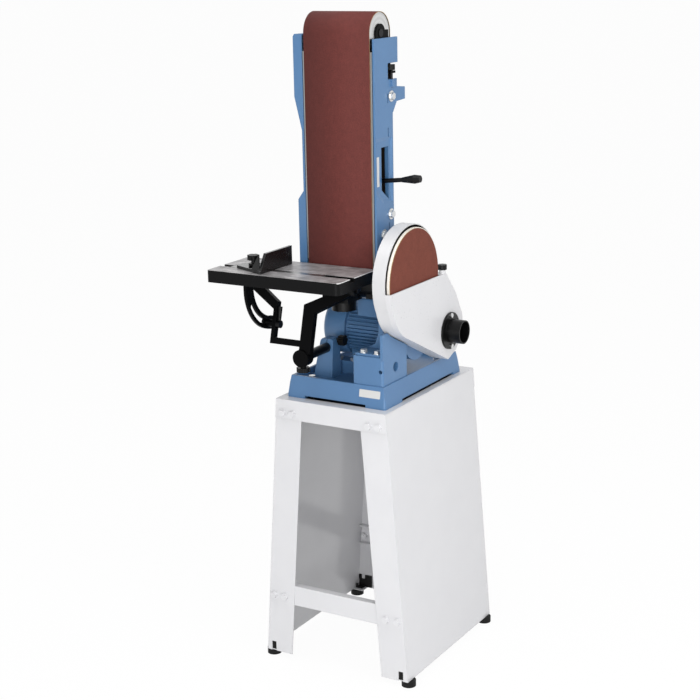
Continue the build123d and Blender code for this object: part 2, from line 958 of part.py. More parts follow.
head_bolt_places = [
    (head_bolt_x0, head_bolt_front_y),
    (head_bolt_x1, head_bolt_front_y),
    (head_bolt_rear_x, head_bolt_rear_y),
]
for x, y in head_bolt_places:
    base -= rod_z(bolt_hole_r, block_top_z - head_bolt_length, block_top_z, x, y)
foot_bolt_xs = (foot_bolt_x_left, foot_bolt_x_mid, foot_bolt_x_right)
foot_bolt_places = [(x, sy * foot_bolt_y) for x in foot_bolt_xs for sy in (-1, 1)]
for x, y in foot_bolt_places:
    base -= rod_z(bolt_hole_r, motor_pad_z - foot_bolt_length, motor_pad_z, x, y)
save("base_casting", base)

# Rod lock knob, its stud draws the split top of the boss together
lock_knob = grip_knob(rod_lock_knob_r, rod_lock_knob_length, star_lobes, star_lobe_r)
lock_knob = Pos(0, 0, rod_lock_neck) * lock_knob + rod_z(rod_lock_stud_r, 0, rod_lock_neck, 0, 0)
lock_stud = boss_half + rod_lock_reach - air_gap
lock_knob += rod_z(rod_lock_stud_r, -lock_stud, 0, 0, 0)
save("rod_lock_knob", Pos(boss_x1, rod_lock_y, rod_lock_z) * FACE_RIGHT * lock_knob)

# Spindle headstock
head = slab(
    head_foot_x0,
    head_foot_x1,
    head_foot_front_y,
    head_foot_rear_y,
    block_top_z,
    block_top_z + head_foot_height,
)
web_outline = [
    (web_front_y, block_top_z),
    (web_rear_low_y, block_top_z),
    (axis_y + head_round_r, axis_z),
    (web_front_y, axis_z),
]
head += side_plate(web_outline, web_x0, web_x1)
head += rod_x(head_round_r, web_x0, web_x1, axis_y, axis_z)
head += rod_x(journal_r, arm_plate_x0 - air_gap, web_x0, axis_y, axis_z)
head += rod_x(tube_r, tube_left_x, web_x1, axis_y, axis_z)
rib_outline = [
    (head_rib_x0, block_top_z),
    (web_x1, block_top_z),
    (web_x1, head_rib_top_z),
    (web_x0, head_rib_top_z),
    (head_rib_knee_x, head_rib_knee_z),
    (head_rib_x0, block_top_z + head_foot_height),
]
head += front_plate(rib_outline, web_front_y, web_front_y + head_rib_thick)
guard_bolt_places = []
for i in range(guard_bolt_count):
    angle = radians(guard_bolt_start + i * guard_bolt_step)
    y = axis_y + guard_bolt_ring_r * cos(angle)
    z = axis_z + guard_bolt_ring_r * sin(angle)
    guard_bolt_places.append((y, z))
    head += rod_x(guard_boss_r, web_x1, cover_x1 - cover_wall, y, z)
bearing_right_end = bearing_right_x + bearing_width
head -= rod_x(bearing_outer_r, bearing_left_x, bearing_right_end, axis_y, axis_z)
head -= rod_x(head_lip_r, tube_left_x, web_x1, axis_y, axis_z)
for x, y in head_bolt_places:
    head -= rod_z(bolt_hole_r, block_top_z, block_top_z + head_foot_height, x, y)
for y, z in guard_bolt_places:
    head -= rod_x(screw_r + run_gap, cover_x1 - guard_screw_length, cover_x1, y, z)
save("spindle_headstock", head)

# Spindle and its bearings
bearings = []
for x0 in (bearing_left_x, bearing_right_x):
    bearings.append(ring_x(bearing_outer_r, spindle_r + run_gap, x0, x0 + bearing_width, axis_y, axis_z))
save("spindle_bearings", group(bearings))
spindle = rod_x(spindle_r, drum_web_x0, spindle_end_x, axis_y, axis_z)
spindle += rod_x(spindle_cap_r, drum_web_x0 - spindle_cap_length, drum_web_x0, axis_y, axis_z)
save("spindle", spindle)

# Drive drum
belt_x0 = belt_mid_x - belt_width / 2
belt_x1 = belt_mid_x + belt_width / 2
drum = rod_x(roller_r, belt_x0, belt_x1, axis_y, axis_z)
drum -= rod_x(roller_r - drum_wall, belt_x0, drum_web_x0, axis_y, axis_z)
drum -= rod_x(roller_r - drum_wall, drum_web_x1, belt_x1, axis_y, axis_z)
drum -= rod_x(spindle_r, drum_web_x0, drum_web_x1, axis_y, axis_z)
save("drive_drum", drum)


# Pulleys and drive belt
def pulley(r, bore, y, z):
    body = rod_x(r, pulley_x0, pulley_x1, y, z)
    for x0 in (pulley_x0, pulley_x1 - pulley_lip_width):
        body += rod_x(r + pulley_lip, x0, x0 + pulley_lip_width, y, z)
    return body - rod_x(bore, pulley_x0, pulley_x1, y, z)


save("drum_pulley", pulley(drum_pulley_r, spindle_r, axis_y, axis_z))
save("motor_pulley", pulley(motor_pulley_r, motor_shaft_r, motor_y, motor_z))
inner_a = drum_pulley_r + air_gap
inner_b = motor_pulley_r + air_gap
loop_in = hull_of_two(axis_y, axis_z, inner_a, motor_y, motor_z, inner_b)
loop_out = hull_of_two(
    axis_y, axis_z, inner_a + drive_belt_thick, motor_y, motor_z, inner_b + drive_belt_thick
)
belt_side = pulley_lip_width + air_gap
drive_x0 = pulley_x0 + belt_side
drive_x1 = pulley_x1 - belt_side
save("drive_belt", side_solid(loop_out, drive_x0, drive_x1) - side_solid(loop_in, drive_x0, drive_x1))

# Pulley cover
cover_out = hull_of_two(axis_y, axis_z, head_round_r, motor_y, motor_z, cover_motor_r)
inner_head_r = head_round_r - cover_wall
inner_motor_r = cover_motor_r - cover_wall
cover_in = hull_of_two(axis_y, axis_z, inner_head_r, motor_y, motor_z, inner_motor_r)
pulley_cover = side_solid(cover_out, web_x1, cover_x1) - side_solid(cover_in, web_x1, cover_x1 - cover_wall)
sleeve_in_r = cover_sleeve_r - cover_wall
pulley_cover += ring_x(cover_sleeve_r, sleeve_in_r, cover_motor_x0, web_x1, motor_y, motor_z)
pulley_cover += ring_x(cover_motor_r, sleeve_in_r, web_x1, web_x1 + cover_wall, motor_y, motor_z)
pulley_cover -= rod_x(cover_shaft_hole_r, cover_x1 - cover_wall, cover_x1, axis_y, axis_z)
for y, z in guard_bolt_places:
    pulley_cover -= rod_x(screw_r + bolt_hole_gap, cover_x1 - cover_wall, cover_x1, y, z)
save("pulley_cover", pulley_cover)

# Motor housing with end shields, feet and fins
shield_left_x = motor_left_x - motor_shield_thick
shield_right_x = motor_right_x + motor_shield_thick
housing = rod_x(motor_body_r, motor_left_x, motor_right_x, motor_y, motor_z)
fin_count = int(2 * pi * motor_fin_r / fin_pitch)
for i in range(fin_count):
    fin = slab(motor_left_x, motor_right_x, -fin_thick / 2, fin_thick / 2, 0, motor_fin_r)
    housing += Pos(0, motor_y, motor_z) * Rot(full_turn * i / fin_count, 0, 0) * fin
housing += rod_x(motor_shield_r, shield_left_x, motor_left_x, motor_y, motor_z)
housing += rod_x(motor_shield_r, motor_right_x, shield_right_x, motor_y, motor_z)
for sy in (-1, 1):
    foot_y0 = min(sy * foot_inner_y, sy * foot_outer_y)
    housing += slab(
        foot_x0, foot_x1, foot_y0, foot_y0 + foot_outer_y - foot_inner_y, motor_pad_z, motor_pad_z + foot_thick
    )
    wall_y0 = min(sy * foot_inner_y, sy * (foot_inner_y + foot_wall))
    housing += slab(motor_left_x, foot_x1, wall_y0, wall_y0 + foot_wall, motor_pad_z, motor_z - foot_inner_y)
housing -= rod_x(motor_bore_r, motor_left_x, motor_right_x, motor_y, motor_z)
housing += rod_x(motor_boss_r, shield_left_x, shield_left_x + motor_boss_length, motor_y, motor_z)
housing += rod_x(motor_boss_r, shield_right_x - motor_boss_length, shield_right_x, motor_y, motor_z)
bearing_seat_left = shield_left_x + motor_boss_length - motor_bearing_width
bearing_seat_right = shield_right_x - motor_boss_length
for x0 in (bearing_seat_left, bearing_seat_right):
    housing -= rod_x(motor_bearing_r, x0, x0 + motor_bearing_width, motor_y, motor_z)
housing -= rod_x(motor_shaft_r + motor_shaft_hole_gap, shield_left_x, shield_right_x, motor_y, motor_z)
for x, y in foot_bolt_places:
    housing -= rod_z(bolt_hole_r, motor_pad_z, motor_pad_z + foot_thick, x, y)
fan_cover_right_x = motor_left_x - fan_cover_gap
clear_cover = rod_x(fan_cover_r + air_gap, fan_cover_left_x, fan_cover_right_x, motor_y, motor_z)
clear_cover -= rod_x(motor_shield_r, shield_left_x, fan_cover_right_x, motor_y, motor_z)
housing -= clear_cover
housing -= ring_x(fan_cover_r, motor_body_r, fan_cover_right_x, motor_left_x, motor_y, motor_z)
save("motor_housing", housing)

# Motor fan cover
fan_cover = rod_x(fan_cover_r, fan_cover_left_x, fan_cover_right_x, motor_y, motor_z)
left_rim = fan_cover.edges().filter_by(GeomType.CIRCLE).sort_by(Axis.X)[0]
fan_cover = fillet(left_rim, fan_cover_round)
hollow = rod_x(
    fan_cover_r - fan_cover_wall, fan_cover_left_x + fan_cover_wall, fan_cover_right_x, motor_y, motor_z
)
hollow_rim = hollow.edges().filter_by(GeomType.CIRCLE).sort_by(Axis.X)[0]
fan_cover -= fillet(hollow_rim, fan_cover_round - fan_cover_wall)
for ring_r, holes in ((grille_outer_r, grille_outer_holes), (grille_inner_r, grille_inner_holes)):
    for i in range(holes):
        angle = 2 * pi * i / holes
        y = motor_y + ring_r * cos(angle)
        z = motor_z + ring_r * sin(angle)
        fan_cover -= rod_x(grille_hole_r, fan_cover_left_x, fan_cover_left_x + 2 * fan_cover_wall, y, z)
save("motor_fan_cover", fan_cover)

# Motor inside: stator, rotor, fan, bearings
save("motor_stator", ring_x(motor_bore_r, rotor_r + stator_gap, stator_x0, stator_x1, motor_y, motor_z))
rotor = rod_x(motor_shaft_r, fan_x0, pulley_x1, motor_y, motor_z)
rotor += rod_x(rotor_r, rotor_x0, rotor_x1, motor_y, motor_z)
save("motor_rotor", rotor)
fan = rod_x(fan_hub_r, fan_x0, fan_x1, motor_y, motor_z)
for i in range(fan_blades):
    blade = slab(fan_x0, fan_x1, -fan_blade / 2, fan_blade / 2, 0, fan_r)
    fan += Pos(0, motor_y, motor_z) * Rot(full_turn * i / fan_blades, 0, 0) * blade
fan -= rod_x(motor_shaft_r, fan_x0, fan_x1, motor_y, motor_z)
save("motor_fan", fan)
motor_bearings = []
for x0 in (bearing_seat_left, bearing_seat_right):
    motor_bearings.append(
        ring_x(motor_bearing_r, motor_shaft_r + run_gap, x0, x0 + motor_bearing_width, motor_y, motor_z)
    )
save("motor_bearings", group(motor_bearings))

# Motor terminal box
terminal = slab(terminal_x0, terminal_x1, -terminal_half_y, terminal_half_y, motor_z, terminal_top_z)
terminal = fillet(terminal.edges().filter_by(Axis.Z), terminal_round)
terminal = fillet(terminal.faces().sort_by(Axis.Z)[-1].edges(), terminal_round)
terminal -= rod_x(motor_fin_r + air_gap, terminal_x0, terminal_x1, motor_y, motor_z)
terminal_mid_x = (terminal_x0 + terminal_x1) / 2
spigot_end_y = terminal_half_y - gland_spigot
terminal -= rod_y(gland_r - gland_step, spigot_end_y, terminal_half_y, terminal_mid_x, terminal_gland_z)
save("motor_terminal_box", terminal)

# Bolts of the machine: headstock, base, motor feet, guard and dust port
machine_bolts = []
for x, y in head_bolt_places:
    machine_bolts.append(Pos(x, y, block_top_z + head_foot_height) * hex_bolt(head_bolt_length))
for x, y in base_bolt_places:
    machine_bolts.append(Pos(x, y, deck_z) * hex_bolt(base_bolt_length))
    nut = hex_nut(bolt_head_flats, nut_height, bolt_r + run_gap)
    machine_bolts.append(Pos(x, y, panel_top_z - nut_height) * nut)
for x, y in foot_bolt_places:
    machine_bolts.append(Pos(x, y, motor_pad_z + foot_thick) * hex_bolt(foot_bolt_length, bolt_head_flats / 2))
for y, z in guard_bolt_places:
    machine_bolts.append(Pos(cover_x1 + guard_sheet, y, z) * FACE_RIGHT * round_screw(guard_screw_length))
port_y0 = axis_y + port_y
port_z0 = axis_z + port_z
for sz in (-1, 1):
    place = Pos(cover_face_x1 + port_flange_thick, port_y0, port_z0 + sz * port_screw_spread)
    machine_bolts.append(place * FACE_RIGHT * round_screw(port_screw_length))
save("machine_bolts", group(machine_bolts))

# Disc plate and abrasive disc
disc = rod_x(disc_plate_r, disc_plate_x0, disc_plate_x1, axis_y, axis_z)
disc += rod_x(disc_back_r, disc_back_x0, disc_plate_x0, axis_y, axis_z)
disc += rod_x(disc_hub_r, disc_hub_x0, disc_back_x0, axis_y, axis_z)
disc -= rod_x(spindle_r, disc_hub_x0, spindle_end_x, axis_y, axis_z)
save("disc_plate", disc)
save("abrasive_disc", rod_x(disc_r, disc_plate_x1, disc_plate_x1 + abrasive_thick, axis_y, axis_z))


# Disc guard: back plate with a rim, hood towards the rear
guard = side_solid(at_axis * guard_out, cover_x1, guard_rim_x1)
guard -= side_solid(at_axis * guard_in, cover_x1 + guard_sheet, guard_rim_x1)
guard -= rod_x(cover_shaft_hole_r, cover_x1, cover_x1 + guard_sheet, axis_y, axis_z)
for y, z in guard_bolt_places:
    guard -= rod_x(screw_r + bolt_hole_gap, cover_x1, cover_x1 + guard_sheet, y, z)
save("disc_guard", guard)

# Lower front cover of the disc
below = Pos(0, hood_top - guard_rim_r) * Rectangle(4 * guard_rim_r, 2 * guard_rim_r)
front_out = guard_out & below
front_in = guard_in & below
front_cover = side_solid(at_axis * front_out, guard_rim_x1, cover_face_x1)
front_cover -= side_solid(at_axis * front_in, guard_rim_x1, cover_face_x1 - guard_sheet)
front_cover -= rod_x(port_r - port_wall, guard_rim_x1, cover_face_x1, port_y0, port_z0)
for sz in (-1, 1):
    z = port_z0 + sz * port_screw_spread
    front_cover -= rod_x(screw_r + run_gap, guard_rim_x1, cover_face_x1, port_y0, z)
knob_y = axis_y + guard_knob_y
knob_z = axis_z + hood_top
boss_end_z = knob_z + guard_knob_boss_height
stud_end_z = boss_end_z - guard_knob_stud_length
front_cover += rod_z(guard_knob_boss_r, knob_z, boss_end_z, guard_knob_x, knob_y)
front_cover -= rod_z(guard_knob_stud_r + run_gap, stud_end_z - air_gap, boss_end_z, guard_knob_x, knob_y)
save("disc_front_cover", front_cover)

# Guard knob on the front cover's boss
knob = grip_knob(guard_knob_r, guard_knob_height, fine_lobes, fine_lobe_r)
knob += rod_z(guard_knob_stud_r, -guard_knob_stud_length, 0, 0, 0)
save("guard_knob", Pos(guard_knob_x, knob_y, boss_end_z + run_gap) * knob)

# Dust port on the front cover
port = rod_x(port_flange_r, cover_face_x1, cover_face_x1 + port_flange_thick, port_y0, port_z0)
port += rod_x(port_r, cover_face_x1, port_end_x, port_y0, port_z0)
port -= rod_x(port_r - port_wall, cover_face_x1, port_end_x, port_y0, port_z0)
for sz in (-1, 1):
    z = port_z0 + sz * port_screw_spread
    port -= rod_x(screw_r + bolt_hole_gap, cover_face_x1, cover_face_x1 + port_flange_thick, port_y0, z)
save("dust_port", port)

# Belt arm
arm_outline = [
    (arm_front, 0),
    (arm_front, arm_top),
    (arm_upper_rear, arm_top),
    (arm_upper_rear, notch_top),
    (notch_rear, notch_top),
    (notch_rear, notch_bottom),
    (shelf_rear, notch_bottom),
    (shelf_rear, shelf_bottom),
    (lug_rear_y, lug_top),
    (lug_rear_y, lug_low),
    (lug_neck_y, lug_neck_z),
    (lug_root_y, lug_root_z),
    (arm_rear, lug_root_z),
    (arm_rear, 0),
]
window = [
    (window_front, window_top),
    (window_rear, window_top),
    (window_rear, window_rear_low),
    (window_front, window_front_low),
]
plate = flat(arm_outline) + Circle(arm_hub_r)
plate -= Circle(journal_r + run_gap)
plate -= flat(window)
for z in (slot_low_z, slot_mid_z, slot_high_z):
    plate -= Pos(slot_y, z + slot_length / 2) * Rectangle(2 * slot_half, slot_length)
arm_bolt_places = [
    (arm_bolt_high_y, arm_bolt_high_z),
    (arm_bolt_mid_y, arm_bolt_mid_z),
    (arm_bolt_low_y, arm_bolt_low_z),
]
for y, z in arm_bolt_places:
    plate -= Pos(y, z) * Circle(bolt_hole_r)
arm = side_solid(at_axis * plate, arm_plate_x0, arm_plate_x1)
pocket_mouth = [
    (pocket_front, pocket_top),
    (pocket_rear, pocket_top),
    (pocket_rear, pocket_rear_low),
    (pocket_knee, pocket_rear_low),
    (pocket_front, pocket_front_low),
]
pocket_floor = [
    (pocket_front + pocket_slope, pocket_top - pocket_slope_high),
    (pocket_rear - pocket_slope, pocket_top - pocket_slope_high),
    (pocket_rear - pocket_slope, pocket_rear_low + pocket_slope),
    (pocket_knee + pocket_slope, pocket_rear_low + pocket_slope_high),
    (pocket_front + pocket_slope, pocket_front_low + pocket_slope_high),
]
mouth_face = Plane.YZ.offset(arm_plate_x1) * (at_axis * flat(pocket_mouth))
floor_face = Plane.YZ.offset(arm_plate_x1 - pocket_depth) * (at_axis * flat(pocket_floor))
arm -= loft([mouth_face.face(), floor_face.face()])


def arm_slab(x0, x1, y0, y1, z0, z1):
    return slab(x0, x1, axis_y + y0, axis_y + y1, axis_z + z0, axis_z + z1)


window_rib_rear = window_rear + window_rib
arm += arm_slab(window_rib_x0, arm_plate_x0, window_rear, window_rib_rear, window_rear_low, window_top)
arm += arm_slab(arm_wall_x1, arm_plate_x0, spine_front, spine_back, spine_low, spine_top)
arm += arm_slab(arm_wall_x0, arm_wall_x1, spine_front, arm_wall_half_y, spine_low, arm_wall_top)
for z0 in (low_shelf_z, high_shelf_z):
    shelf_x0 = belt_mid_x - shelf_half_x
    shelf_x1 = belt_mid_x + shelf_half_x
    arm += arm_slab(shelf_x0, shelf_x1, spine_back, shelf_back, z0, z0 + shelf_thick)
    arm -= rod_z(stem_r + run_gap, axis_z + z0, axis_z + z0 + shelf_thick, belt_mid_x, axis_y)
lever_clear = yoke_half_y + lever_cheek + 2 * air_gap
arm += rod_y(lever_boss_r, axis_y + spine_back, axis_y - lever_clear, lever_x, axis_z + lever_z)
arm -= rod_y(lever_pivot_r + run_gap, axis_y + spine_back, axis_y - lever_clear, lever_x, axis_z + lever_z)
arm += arm_slab(
    track_x - track_boss_half,
    track_x + track_boss_half,
    track_y - track_boss_half,
    track_y + track_boss_half,
    shelf_bottom,
    notch_bottom,
)
arm -= rod_z(track_screw_r + run_gap, axis_z + shelf_bottom, axis_z + notch_bottom, track_x, axis_y + track_y)
save("arm_frame", arm)

# Arm bolts with large washers
arm_bolts = []
for y, z in arm_bolt_places:
    place = Pos(arm_plate_x1, axis_y + y, axis_z + z)
    arm_bolts.append(place * FACE_RIGHT * hex_bolt(arm_bolt_length, arm_washer_r))
save("arm_bolts", group(arm_bolts))

# Platen behind the sanding belt
save("platen", arm_slab(platen_x0, platen_x1, platen_front, spine_front, platen_low, platen_top))


# Left side cover of the arm
side_cover_top = idler_z - side_cover_top_drop
side_cover_shoulder = idler_z - side_cover_shoulder_drop


def side_cover_solid(inset, x_open):
    profile = [
        (x_open, side_cover_top - inset),
        (side_cover_shoulder_x + inset, side_cover_top - inset),
        (side_cover_upper_x + inset, side_cover_shoulder - inset),
        (side_cover_upper_x + inset, side_cover_upper_low),
        (side_cover_waist_x + inset, side_cover_waist_top),
        (side_cover_waist_x + inset, side_cover_waist_low),
        (side_cover_lower_x + inset, side_cover_lower_top),
        (side_cover_lower_x + inset, -side_cover_half_y + inset),
        (x_open, -side_cover_half_y + inset),
    ]
    half = side_cover_half_y - inset
    body = Pos(0, axis_y, axis_z) * front_plate(profile, -half, half)
    outline = Circle(half) + Pos(0, side_cover_top / 2) * Rectangle(2 * half, side_cover_top)
    return body & side_solid(at_axis * outline, side_cover_upper_x, arm_wall_x0)


side_cover = side_cover_solid(0, arm_wall_x0) - side_cover_solid(side_cover_wall, arm_wall_x0)
save("arm_side_cover", side_cover)

# Sanding belt
run_out = hull_of_two(axis_y, axis_z, belt_outer_r, axis_y, axis_z + idler_z, belt_outer_r)
run_in = hull_of_two(axis_y, axis_z, belt_inner_r, axis_y, axis_z + idler_z, belt_inner_r)
save("sanding_belt", side_solid(run_out, belt_x0, belt_x1) - side_solid(run_in, belt_x0, belt_x1))

# Tension stem, with the clevis that carries the fork and the slotted yoke for the lever
stem = rod_z(stem_r, axis_z + yoke_top, axis_z + clevis_base_z, belt_mid_x, axis_y)
stem += rod_z(collar_r, axis_z + collar_z, axis_z + collar_z + collar_thick, belt_mid_x, axis_y)
cheek_y = fork_bar_half_y + air_gap
clevis_x0 = belt_mid_x - clevis_half_x
clevis_x1 = belt_mid_x + clevis_half_x
cheek_end = cheek_y + clevis_cheek
stem += arm_slab(clevis_x0, clevis_x1, -cheek_end, cheek_end, clevis_base_z, clevis_base_top)
for y0 in (-cheek_end, cheek_y):
    stem += arm_slab(clevis_x0, clevis_x1, y0, y0 + clevis_cheek, clevis_base_z, clevis_top)
stem += rod_y(fork_pin_r, axis_y - cheek_end, axis_y + cheek_end, belt_mid_x, axis_z + fork_pin_z)
yoke_x0 = belt_mid_x - yoke_half_x
yoke_x1 = belt_mid_x + yoke_half_x
stem += arm_slab(yoke_x0, yoke_x1, -yoke_half_y, yoke_half_y, yoke_low, yoke_top)
slot_half_z = lever_pin_r + air_gap
stem -= arm_slab(
    belt_mid_x - yoke_slot_half,
    belt_mid_x + yoke_slot_half,
    -yoke_half_y,
    yoke_half_y,
    lever_z - slot_half_z,
    lever_z + slot_half_z,
)
save("tension_stem", stem)

# Disc springs under the stem's collar
springs = []
spring_space = collar_z - low_shelf_z - shelf_thick
spring_step = spring_space / spring_count
cone = spring_step - spring_plate - air_gap
for i in range(spring_count):
    z0 = low_shelf_z + shelf_thick + i * spring_step
    low, high = (0, cone) if i % 2 == 0 else (cone, 0)
    section = [
        (spring_bore_r, low),
        (spring_r, high),
        (spring_r, high + spring_plate),
        (spring_bore_r, low + spring_plate),
    ]
    washer = revolve(Plane.XZ * flat(section), axis=Axis.Z)
    springs.append(Pos(belt_mid_x, axis_y, axis_z + z0) * washer)
save("tension_spring", group(springs))

# Tension lever and grip
at_lever = Pos(lever_x, axis_y, axis_z + lever_z)
cheek_in = yoke_half_y + air_gap
cheek_out = cheek_in + lever_cheek
lever = rod_y(lever_pin_r, -cheek_out, cheek_out, -lever_crank, 0)
for y0 in (-cheek_out, cheek_in):
    lever += rod_y(lever_cheek_r, y0, y0 + lever_cheek, -lever_crank, 0)
    lever += slab(-lever_crank, lever_bridge_x1, y0, y0 + lever_cheek, -lever_bridge_half, lever_bridge_half)
lever += slab(lever_bridge_x0, lever_bridge_x1, -cheek_out, cheek_out, -lever_bridge_half, lever_bridge_half)
lever += rod_y(lever_pivot_r, spine_back + air_gap, -cheek_in, 0, 0)
lever += Rot(0, -lever_slope, 0) * rod_x(lever_rod_r, lever_bridge_x0, lever_rod_length, 0, 0)
save("tension_lever", at_lever * lever)
grip = [(grip_start, 0), (grip_start, grip_r0), (grip_mid, grip_r1), (grip_end, grip_end_r), (grip_end, 0)]
grip_solid = revolve(flat(grip), axis=Axis.X)
grip_solid -= rod_x(lever_rod_r, grip_start, lever_rod_length, 0, 0)
save("tension_lever_grip", at_lever * Rot(0, -lever_slope, 0) * grip_solid)

# Idler fork, axle, roller and bearings
at_idler_z = axis_z + idler_z
strap_x1 = belt_mid_x + idler_half + strap_gap
strap_left_x1 = belt_mid_x - idler_half - strap_gap
fork = arm_slab(strap_left_x1, strap_x1, -fork_bar_half_y, fork_bar_half_y, fork_bar_low, fork_bar_top)
for x0 in (strap_left_x1 - strap_thick, strap_x1):
    fork += arm_slab(x0, x0 + strap_thick, strap_front, strap_rear, strap_low, strap_shoulder)
    fork += arm_slab(x0, x0 + strap_thick, nose_front, strap_front, nose_low, nose_top)
    fork += arm_slab(x0, x0 + strap_thick, strap_rear, heel_rear, heel_low, strap_shoulder)
    fork += rod_x(strap_head_r, x0, x0 + strap_thick, axis_y, at_idler_z)
fork += arm_slab(strap_x1, tab_end_x, strap_rear - tab_overlap, tab_rear, tab_low, tab_top)
fork -= rod_z(track_screw_r + tab_hole_gap, axis_z + tab_low, axis_z + tab_top, track_x, axis_y + track_y)
fork_y0 = axis_y - fork_bar_half_y
fork_y1 = axis_y + fork_bar_half_y
fork -= rod_y(fork_pin_r + run_gap, fork_y0, fork_y1, belt_mid_x, axis_z + fork_pin_z)
axle_x0 = strap_left_x1 - strap_thick
axle_x1 = strap_x1 + strap_thick
fork -= rod_x(axle_r + run_gap, axle_x0, axle_x1, axis_y, at_idler_z)
save("idler_fork", fork)
axle = rod_x(axle_r, axle_x0, axle_x1, axis_y, at_idler_z)
for x0 in (axle_x0 - axle_head_height, axle_x1):
    axle += rod_x(axle_head_r, x0, x0 + axle_head_height, axis_y, at_idler_z)
save("idler_axle", axle)
idler_x0 = belt_mid_x - idler_half
idler_x1 = belt_mid_x + idler_half
idler = rod_x(roller_r, idler_x0, idler_x1, axis_y, at_idler_z)
idler -= rod_x(roller_r - idler_wall, idler_x0 + idler_web, idler_x1 - idler_web, axis_y, at_idler_z)
idler -= rod_x(idler_bore_r, idler_x0, idler_x1, axis_y, at_idler_z)
idler -= rod_x(idler_bearing_r, idler_x0, idler_x0 + idler_bearing_width, axis_y, at_idler_z)
idler -= rod_x(idler_bearing_r, idler_x1 - idler_bearing_width, idler_x1, axis_y, at_idler_z)
save("idler_roller", idler)
idler_bearings = []
for x0 in (idler_x0, idler_x1 - idler_bearing_width):
    idler_bearings.append(
        ring_x(idler_bearing_r, axle_r + run_gap, x0, x0 + idler_bearing_width, axis_y, at_idler_z)
    )
save("idler_bearings", group(idler_bearings))

# Tracking screw with its knob
track = rod_z(track_screw_r, track_screw_low, track_knob_low, 0, 0)
track += Pos(0, 0, track_knob_low) * grip_knob(
    track_knob_r, track_knob_top - track_knob_low, fine_lobes, fine_lobe_r
)
save("tracking_knob", Pos(track_x, axis_y + track_y, axis_z) * track)

# Dust hood under the drum
shell = sector(hood_r + hood_sheet, hood_start, hood_stop) - Circle(hood_r)
dust_hood = side_solid(at_axis * shell, hood_x0, hood_x1)
plenum_x0 = belt_mid_x - plenum_half_x
plenum_x1 = belt_mid_x + plenum_half_x
dust_hood += arm_slab(plenum_x0, plenum_x1, plenum_front, plenum_rear, plenum_low, plenum_top)
dust_hood += rod_z(spigot_r, axis_z + spigot_low, axis_z + plenum_low, spigot_x, axis_y + spigot_y)
dust_hood += arm_slab(hood_lug_x0, web_x0, hood_lug_front, hood_lug_rear, hood_lug_low, hood_lug_top)
dust_hood -= arm_slab(
    plenum_x0 + hood_sheet,
    plenum_x1 - hood_sheet,
    plenum_front + hood_sheet,
    plenum_rear - hood_sheet,
    plenum_low + hood_sheet,
    plenum_top - hood_sheet,
)
dust_hood -= rod_z(
    spigot_r - hood_sheet, axis_z + spigot_low, axis_z + plenum_low + hood_sheet, spigot_x, axis_y + spigot_y
)
dust_hood -= rod_x(hood_r, hood_x0, hood_x1, axis_y, axis_z)
dust_hood -= rod_x(arm_hub_r + 2 * air_gap, hood_x1, web_x0, axis_y, axis_z)
save("belt_dust_hood", dust_hood)

# Work table
table_bottom_z = table_top_z - table_depth
plate_bottom_z = table_top_z - table_plate
table_mid = Pos((table_x0 + table_x1) / 2, (table_front_y + table_rear_y) / 2)
table_width = table_x1 - table_x0
table_length = table_rear_y - table_front_y
table_plan = table_mid * Rectangle(table_width, table_length)
table_plan = fillet(table_plan.vertices().sort_by(Axis.X)[:2], table_left_corner_r)
table_plan = fillet(table_plan.vertices().sort_by(Axis.X)[-2:], table_right_corner_r)
table = plan_solid(table_plan, table_bottom_z, table_top_z)
table -= slab(
    table_x0 + table_skirt,
    table_x1 - table_skirt,
    table_front_y + table_skirt,
    table_rear_y - table_skirt,
    table_bottom_z,
    plate_bottom_z,
)
slot_bottom_z = table_top_z - miter_slot_depth
slot_y0 = miter_slot_y - miter_slot_half
slot_y1 = miter_slot_y + miter_slot_half
ear_left_x = bracket_lug_left_x - air_gap - ear_thick
ear_right_x = bracket_lug_right_x + air_gap
for x0 in (ear_left_x, ear_right_x):
    ear = rod_x(ear_r, x0, x0 + ear_thick, pivot_y, pivot_z)
    ear += slab(x0, x0 + ear_thick, pivot_y - ear_r, pivot_y + ear_r, pivot_z, plate_bottom_z)
    table += ear
quad_root_y0 = pivot_y - quadrant_r
quad_root_y1 = pivot_y - quadrant_inner_r
table += slab(quadrant_x0, quadrant_x1, quad_root_y0, quad_root_y1, table_bottom_z, plate_bottom_z)
table -= slab(table_x0, table_x1, slot_y0, slot_y1, slot_bottom_z, table_top_z)
for x0 in (ear_left_x, ear_right_x):
    table -= rod_x(pivot_r + run_gap, x0, x0 + ear_thick, pivot_y, pivot_z)
save("table", table)

# Tilt quadrant
quad = sector(quadrant_r, half_turn, quadrant_stop) - Circle(quadrant_inner_r)
quad_slot_r = (quad_slot_inner_r + quad_slot_outer_r) / 2
quad_slot_half = (quad_slot_outer_r - quad_slot_inner_r) / 2
quad -= arc_slot(quad_slot_r, quad_slot_half, quad_slot_start, quad_slot_stop)
quadrant = side_solid(Pos(pivot_y, pivot_z) * quad, quadrant_x0, quadrant_x1)
quadrant += slab(quadrant_x0, quadrant_x1, quad_root_y0, quad_root_y1, pivot_z, table_bottom_z)
save("table_quadrant", quadrant)

